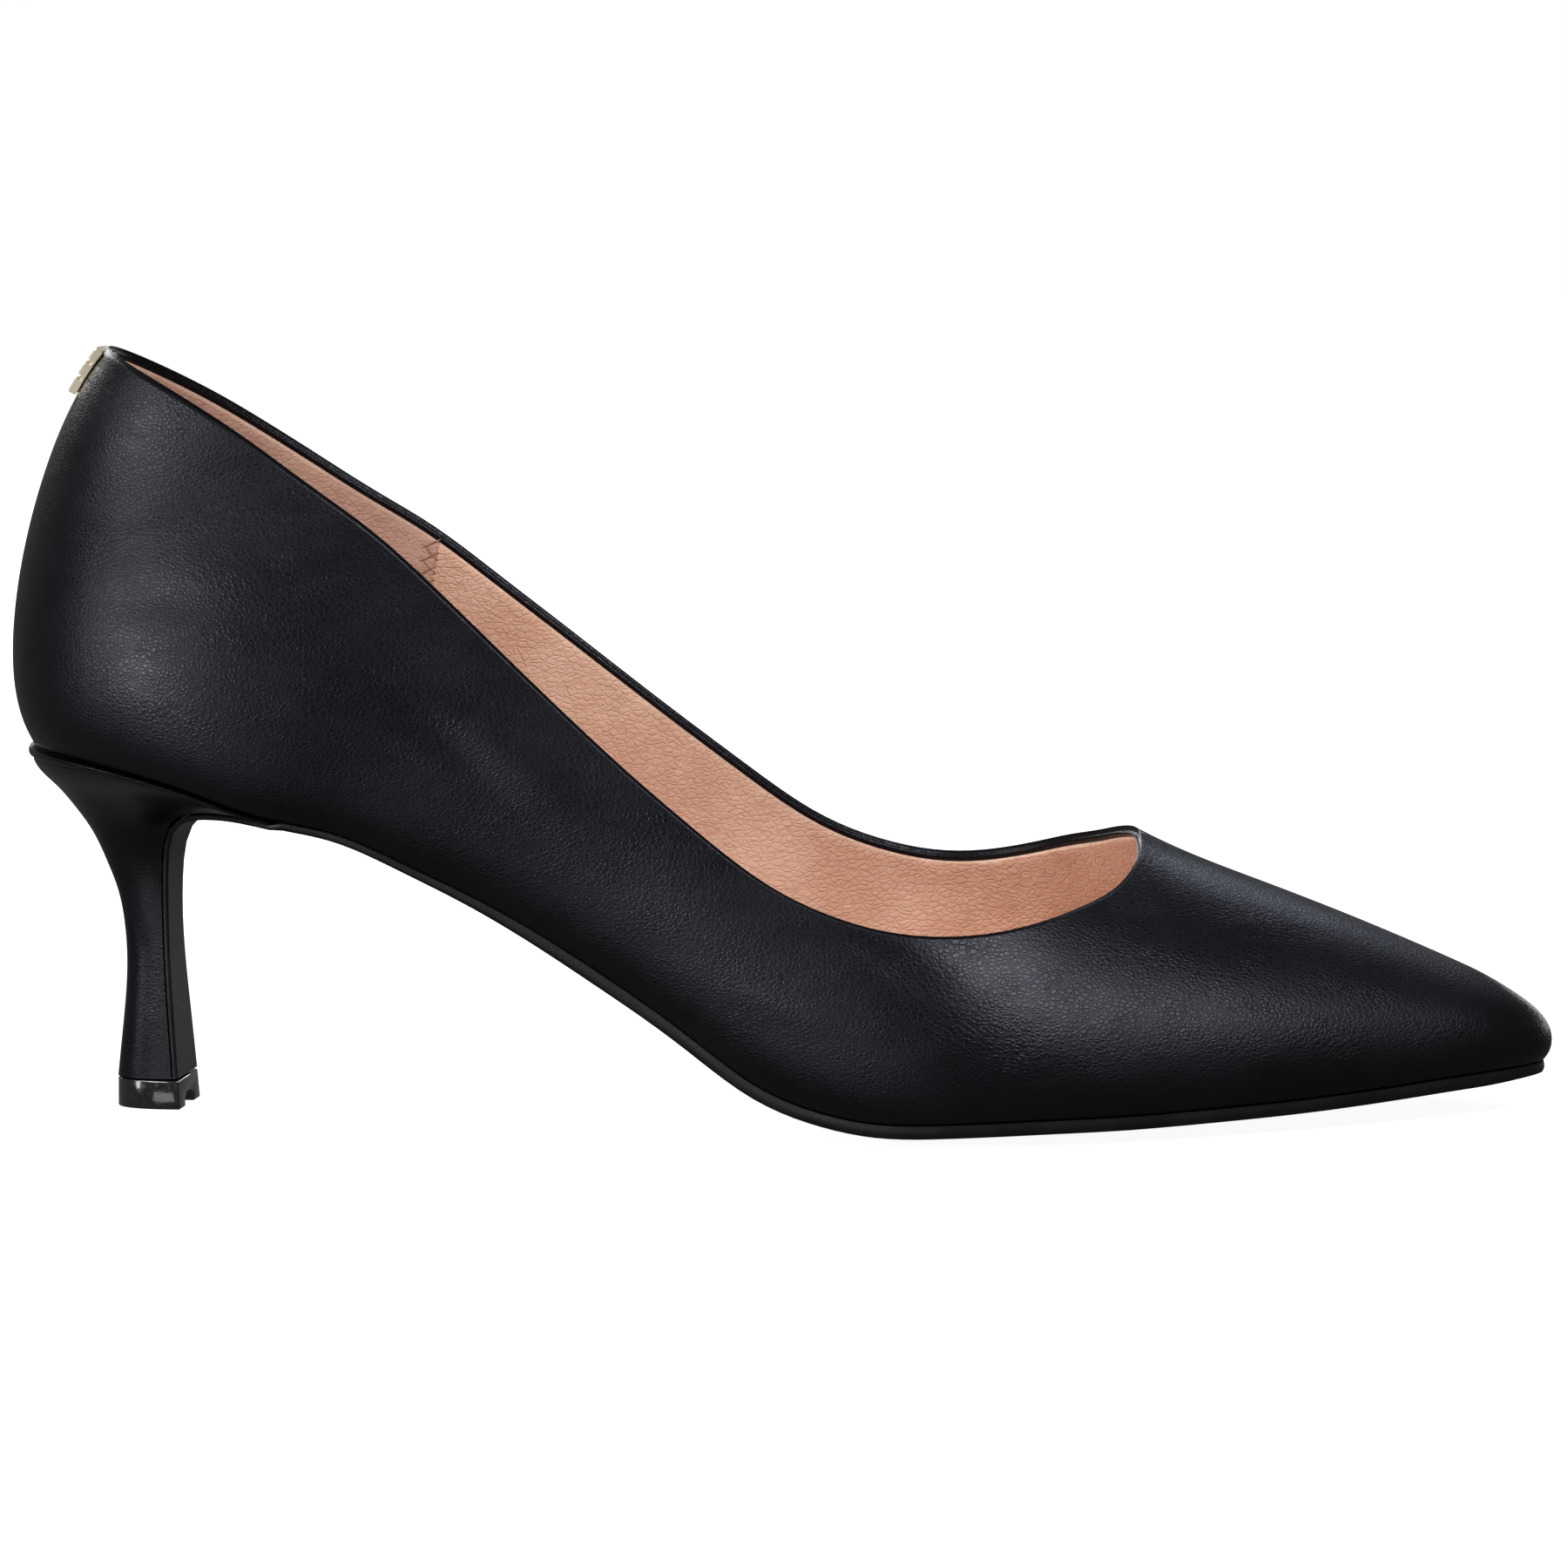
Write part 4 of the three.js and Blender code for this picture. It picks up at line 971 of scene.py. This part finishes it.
def heel_knots(columns):
    """Points of the heel's side, rows from the rim down, columns from the outer front corner to the inner."""
    way = np.linspace(-1, 1, 2 * columns + 1)
    on_rim = feather(-way * heel_end)
    rim_forward = (on_rim[:, 0] - rim_back[0]) / (rim_end[0] - rim_back[0])
    rim_down = (rim_back[2] - on_rim[:, 2]) / (rim_back[2] - rim_end[2])
    rim_half = -rim_end[1]
    angle = np.abs(way) * HALF_TURN / 2
    round_forward = 1 - np.cos(angle) ** NECK_ROUND
    round_across = np.sign(way) * np.sin(angle) ** NECK_ROUND
    found = []
    for i in range(len(heel_rows["back"])):
        row = {name: column[i] for name, column in heel_rows.items()}
        breast = mix(BREAST_FORWARD, TIP_DEPTH / 2 - FLAP_THICKNESS - GAP, row["end"])
        rear = mix(NECK_BACK, TIP_DEPTH / 2, row["end"])
        neck = mix(NECK_WIDTH / 2, TIP_WIDTH / 2, row["end"])
        back_x = -mix(rear, HEEL_OVERHANG, row["back"])
        edge_x = mix(breast, rim_end[0], row["edge"])
        back_z = mix(heel_low, rim_back[2] - GAP, row["back_up"])
        edge_z = mix(heel_low, rim_end[2] - GAP, row["edge_up"])
        forward = mix(rim_forward, round_forward, row["round"])
        down = mix(rim_down, round_forward, row["round"])
        across = mix(on_rim[:, 1] / rim_half, round_across, row["round"])
        wide = mix(neck, rim_half, row["half"]) + 0.5 * (1 - row["round"]) * (1 - forward)
        found.append(np.stack([mix(back_x, edge_x, forward), across * wide, mix(back_z, edge_z, down)], -1))
    return np.array(found)


HEEL_STEPS = np.concatenate([
    np.linspace(0, BEAD_REACH, 22)[:-1],
    BEAD_REACH + np.linspace(0, 1, 70) ** SIDE_EASE * SIDE_SPAN,
])


def heel_grid(columns):
    """The heel's side on smooth curves through its knots; the first rows lie close for the bead."""
    knots = heel_knots(columns)
    made = np.zeros((len(HEEL_STEPS), knots.shape[1], 3))
    for c in range(knots.shape[1]):
        run = np.concatenate([[0], np.cumsum(np.linalg.norm(np.diff(knots[:, c], axis=0), axis=-1))])
        below_bead = mix(BEAD_REACH, run[-1], (HEEL_STEPS - BEAD_REACH) / SIDE_SPAN)
        steps = np.where(HEEL_STEPS <= BEAD_REACH, HEEL_STEPS, below_bead)
        for axis in range(3):
            made[:, c, axis] = curve(run, knots[:, c, axis])(steps)
    return made


def make_heel():
    side = heel_grid(HEEL_COLUMNS)
    way = np.abs(np.linspace(-1, 1, 2 * HEEL_COLUMNS + 1))
    down = np.gradient(side, axis=0)
    across = np.gradient(side, axis=1)
    normal = unit(np.cross(across, down))
    normal = np.where(((side - side.mean(1, keepdims=True)) * normal).sum(-1, keepdims=True) < 0, -normal, normal)
    width = mix(*BEAD_WIDTHS, way)[None, :]
    drop = HEEL_STEPS[:, None] * np.ones_like(width)
    swell_here = BEAD * np.sin(np.clip(drop / width, 0, 1) * HALF_TURN) ** 0.8
    groove = BEAD_GROOVE * np.exp(-((drop - width) / GROOVE_WIDTH) ** 2)
    bead = np.where(drop < BEAD_REACH, swell_here - groove, 0) * (1 - BEAD_FADE * way)[None, :]
    side = side + normal * bead[..., None]
    tuck = side[-1] * [0.93, 0.93, 1] - [0, 0, 0.12]
    side = np.concatenate([side, [tuck]])
    outer_half = side[:, HEEL_COLUMNS::-1]
    inner_half = side[:, HEEL_COLUMNS:]
    rim = np.stack([outer_half[0], inner_half[0]], 1)
    foot = np.stack([outer_half[-1], inner_half[-1]], 1)
    breast = np.stack([side[:, -1], side[:, 0]], 1)
    return weld("heel_cover", [
        quads(side),
        quads(breast),
        quads(rim, flip=True),
        quads(foot),
    ])


heel = make_heel()
heel.data.materials.append(calf("heel_calf", CALF_DARK, CALF_LIGHT, 0.26, 0.6, 0.1))
sharpen(heel, 50)
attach(heel, "root")
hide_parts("heel")

# The outsole: a thin black sheet, stuck on under the forepart and waist and turned down
# over the heel's breast. Its edge is trimmed round, inked and polished.
SOLE_THICKNESS = 2.15
WAIST_EDGE = 1.2
TOE_EDGE = 1.75
WING_CLEARANCE = 2
EDGE_ROUNDING = 0.45
EDGE_STEPS = ((0.95, 0.2), (0.82, 0.05), (0.6, -0.08), (0.3, -0.08), (0.08, 0))


def sole_thickness(share):
    forepart = mix(SOLE_THICKNESS, TOE_EDGE, smooth(share, 0.96, 1))
    return mix(WAIST_EDGE, forepart, smooth(share, 0.24, 0.4))


def sole_rows(under, inset):
    first = float(turn_of((HEEL_LENGTH + WING_CLEARANCE) / FEATHER_LENGTH))
    turns = np.linspace(HALF_TURN, first, PLAN_STEPS + 1)

    def height(share, across):
        top = bottom_z(share, across) - GAP
        ahead = np.minimum(share + SMALL, 1)
        slope = (profile_z(ahead) - profile_z(share - SMALL)) / (2 * SMALL * FEATHER_LENGTH)
        thick = sole_thickness(share) * np.hypot(1, slope)
        return np.maximum(top - thick * under, 0)

    return cross_rows(turns, lambda turn: feather(turn) - outward(turn) * inset, height)


def flap_rows(depth, inset):
    knots = heel_grid(2)[::3]
    outer = knots[:, 0]
    inner = knots[:, -1]
    fall = np.gradient(outer, axis=0)
    normal = unit(np.stack([-fall[:, 2], np.zeros(len(fall)), fall[:, 0]], -1))
    across = np.linspace(-1, 1, CROSS_STEPS + 1)
    outer = outer + [0, inset, 0] + normal * depth
    inner = inner - [0, inset, 0] + normal * depth
    return mix(outer[:, None, :], inner[:, None, :], ((1 + across) / 2)[None, :, None])


def make_sole():
    def sheet(under, inset):
        return np.concatenate([sole_rows(under, inset), flap_rows(GAP + FLAP_THICKNESS * under, inset)])

    top = sheet(0, 0)
    under = sheet(1, EDGE_ROUNDING)
    loops = [rim_of(under)]
    for share, inset in EDGE_STEPS:
        loops.append(rim_of(sheet(share, inset)))
    loops.append(rim_of(top))
    return weld("sole_sheet", [quads(top), quads(loops), quads(under, flip=True)])


def sheet_rubber():
    """Smooth black sole sheet: satin, faintly moulded and unevenly dulled."""
    finish = Finish("black_sole_sheet", Specular_IOR_Level=0.3)
    place = finish.stretched()
    mottle = finish.noise(place, 1.4, 3)
    broad = finish.noise(place, 0.09, 3)
    colour = finish.blend(finish.fit(broad, 0.35, 0.7), rgb(9, 9, 12), rgb(16, 16, 20))
    normal = finish.bump(mottle, 0.05)
    return finish.feed(Base_Color=colour, Roughness=finish.fit(broad, 0.3, 0.7, 0.4, 0.58), Normal=normal)


sole = make_sole()
sole.data.materials.append(sheet_rubber())
sharpen(sole, 50)
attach(sole, "root")
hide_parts("outsole")

# The top piece: a hard glossy plastic lift with an arched notch in its front, nailed
# under the heel with its own pin.
TIP_BEVEL = 0.28


def make_top_piece():
    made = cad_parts["top_piece"].copy()
    made.data = made.data.copy()
    made.name = "heel_lift"
    made.data.materials.clear()
    bpy.context.collection.objects.link(made)
    work = bmesh.new()
    work.from_mesh(made.data)
    bmesh.ops.remove_doubles(work, verts=work.verts, dist=1e-5)
    bmesh.ops.dissolve_limit(work, angle_limit=math.radians(1), verts=work.verts, edges=work.edges)
    work.to_mesh(made.data)
    work.free()
    bevel = made.modifiers.new("worn edges", "BEVEL")
    bevel.width = TIP_BEVEL * MM
    bevel.segments = 3
    bevel.limit_method = "ANGLE"
    bevel.angle_limit = math.radians(35)
    settle(made)
    sharpen(made, 40)
    return made


def hard_plastic():
    """Glossy black plastic with faint moulding ripples and fine scuffs."""
    finish = Finish("black_lift_plastic", Specular_IOR_Level=0.5, Coat_Weight=1.0, Coat_Roughness=0.08)
    place = finish.stretched()
    scuff = finish.fit(finish.noise(place, 1.2, 4), 0.45, 0.75)
    ripple = finish.noise(place, 0.5, 2)
    colour = finish.blend(scuff, rgb(18, 19, 23), rgb(30, 31, 36))
    return finish.feed(Base_Color=colour, Roughness=0.1 + scuff * 0.14, Normal=finish.bump(ripple, 0.06))


top_piece = make_top_piece()
top_piece.data.materials.append(hard_plastic())
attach(top_piece, "root")
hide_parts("top_piece")

# The back plate: a small stamped and gilt plate with plain ribs, pinned on at the top
# of the back seam.
PLATE_WIDTH = 7
PLATE_HEIGHT = 7.6
PLATE_THICKNESS = 1.3
PLATE_GROOVE = 0.85
PLATE_TOP = 0.975
PLATE_RAISED = ((0.0, 0.27), (0.39, 0.63), (0.75, 1.0))
PLATE_STEP = 0.012
PLATE_BEVEL = 0.14
BEVEL_ACROSS = 0.07
BEVEL_UP = 0.03
PLATE_ROWS = 40
PLATE_COLUMNS = 30


def plate_grid(depth):
    """Points over the back seam, so far off a smooth face that is fitted to the upper there."""
    top = BACK_UP * PLATE_TOP
    back = np.array(0.0)
    rib_step = last_point(back, np.array(top)) - last_point(back, np.array(top - SMALL))
    per_turn = np.linalg.norm(rib_step) / SMALL
    steps = [np.linspace(0, 1, PLATE_ROWS + 1)]
    for edge in np.ravel(PLATE_RAISED):
        steps.append(edge + np.array([-1, -0.5, -0.1, 0.1, 0.5, 1]) * PLATE_STEP)
    rise = np.unique(np.clip(np.concatenate(steps), 0, 1))[:, None]
    across = np.sin(np.linspace(-1, 1, PLATE_COLUMNS + 1) * HALF_TURN / 2)[None, :]
    up = (top - (1 - rise) * PLATE_HEIGHT / per_turn) * np.ones_like(across)
    zero = np.zeros_like(up)
    sideways = np.linalg.norm(last_point(zero + SMALL, up) - last_point(zero, up), axis=-1) / SMALL
    turn = -across * PLATE_WIDTH / 2 / sideways
    rise, across = np.broadcast_arrays(rise, across)
    terms = np.stack([np.ones_like(rise), across, rise, across**2, across * rise, rise**2], axis=-1)
    place, away = (terms @ np.linalg.lstsq(terms.reshape(-1, 6), grid.reshape(-1, 3), rcond=None)[0]
                   for grid in (last_point(turn, up), last_normal(turn, up)))
    return place + unit(away) * depth(rise, across)[..., None]


def plate_face(rise, across):
    raised = sum(smooth(rise, low - PLATE_STEP, low) * (1 - smooth(rise, high, high + PLATE_STEP))
                 for low, high in PLATE_RAISED)
    rim = smooth(1 - np.abs(across), 0, BEVEL_ACROSS) * smooth(np.minimum(rise, 1 - rise), 0, BEVEL_UP)
    return GAP + PLATE_THICKNESS - PLATE_GROOVE * (1 - raised) - PLATE_BEVEL * (1 - rim)


def make_plate():
    front = plate_grid(plate_face)
    back = plate_grid(lambda rise, across: np.full_like(rise * across, GAP))
    return weld("back_plate_gilt", [
        quads(front, flip=True),
        quads([rim_of(back), rim_of(front)], flip=True),
        quads(back),
    ])


def gilt():
    """Pale gold plating, polished, with faint hazing."""
    finish = Finish("pale_gilt", Metallic=0.5, Specular_IOR_Level=0.5)
    place = finish.stretched()
    haze = finish.fit(finish.noise(place, 0.9, 4), 0.35, 0.7)
    colour = finish.blend(haze, rgb(250, 238, 212), rgb(240, 226, 198))
    return finish.feed(Base_Color=colour, Roughness=0.24 + haze * 0.08, Normal=finish.bump(haze, 0.004))


plate = make_plate()
plate.data.materials.append(gilt())
sharpen(plate, 45)
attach(plate, "root")
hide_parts("back_plate")

# The stage: a plain pale floor, lit white and left out of reflections, large soft lights and
# the photo's camera. The small tip_glow stands below the floor, for the white floor's
# reflection in the glossy top piece.
FLOOR_SIZE = 60.0
FLOOR_GLOW = 0.94
WORLD_GLOW = 0.13
CAMERA_TURN = 11
CAMERA_ELEVATION = 7.5
CAMERA_ROLL = -1.7
CAMERA_DISTANCE = 1.05
CAMERA_AIM = Vector((0.1072, 0, 0.05264))
LENS = 149.94


def make_floor():
    mesh = bpy.data.meshes.new("floor")
    half = FLOOR_SIZE / 2
    corners = [(-half, -half, 0), (half, -half, 0), (half, half, 0), (-half, half, 0)]
    mesh.from_pydata(corners, [], [(0, 1, 2, 3)])
    finish = Finish("lit_white_floor", Specular_IOR_Level=0, Roughness=1, Emission_Strength=FLOOR_GLOW)
    finish.shader.inputs["Base Color"].default_value = (0.5, 0.5, 0.5, 1)
    finish.shader.inputs["Emission Color"].default_value = (1, 1, 1, 1)
    mesh.materials.append(finish.material)
    return placed("floor", mesh)


floor = make_floor()
floor.visible_glossy = False
floor.visible_diffuse = False


def soft_light(name, azimuth, elevation, distance, size, power, colour=(1, 1, 1), aim=CAMERA_AIM):
    data = bpy.data.lights.new(name, "AREA")
    data.shape = "RECTANGLE"
    data.size, data.size_y = size
    data.energy = power
    data.color = colour
    a = math.radians(azimuth)
    e = math.radians(elevation)
    away = Vector((math.cos(a) * math.cos(e), math.sin(a) * math.cos(e), math.sin(e)))
    lamp = placed(name, data)
    lamp.location = aim + away * distance
    lamp.rotation_euler = away.to_track_quat("Z", "Y").to_euler()
    lamp.visible_camera = False


soft_light("toe_softbox", -64, 44, 1.3, (0.67, 0.37), 9.6)
soft_light("heel_softbox", -142, 37, 1.3, (0.55, 0.36), 5.2)
soft_light("low_strip", -122, 4.5, 0.32, (0.125, 0.036), 0.42, aim=Vector((0.014, -0.026, 0.079)))
soft_light("rear_softbox", 80, 46, 1.3, (0.5, 0.4), 3.4, colour=(0.78, 0.84, 1))
soft_light("inner_softbox", 128, 30, 1.3, (0.8, 0.5), 9)
soft_light("inner_strip", 60, 6, 1.3, (0.9, 0.25), 2.5)
soft_light("heel_panel", -141, 0, 0.9, (0.09, 0.3), 0.7, aim=Vector((0, 0, 0.152)))
soft_light("tip_glow", -110, -8, 0.3, (0.12, 0.055), 0.035, aim=Vector((0, -0.004, 0.004)))
soft_light("top_softbox", -90, 80, 1.3, (0.5, 0.3), 0.8)

world = bpy.data.worlds.new("studio")
world.use_nodes = True
world.node_tree.nodes["Background"].inputs["Color"].default_value = (1, 1, 1, 1)
world.node_tree.nodes["Background"].inputs["Strength"].default_value = WORLD_GLOW
bpy.context.scene.world = world
bpy.context.scene.view_settings.view_transform = "Standard"

camera_data = bpy.data.cameras.new("photo camera")
camera_data.lens = LENS
camera_data.clip_start = 0.05
camera = placed("photo camera", camera_data)
turned = math.radians(CAMERA_TURN)
raised = math.radians(CAMERA_ELEVATION)
forward = Vector((-math.sin(turned) * math.cos(raised), math.cos(turned) * math.cos(raised), -math.sin(raised)))
right = Vector((math.cos(turned), math.sin(turned), 0))
above = right.cross(forward)
roll = math.radians(CAMERA_ROLL)
rolled_right = right * math.cos(roll) + above * math.sin(roll)
rolled_above = above * math.cos(roll) - right * math.sin(roll)
axes = Matrix((rolled_right, rolled_above, -forward)).transposed()
camera.matrix_world = Matrix.Translation(CAMERA_AIM - forward * CAMERA_DISTANCE) @ axes.to_4x4()
bpy.context.scene.camera = camera
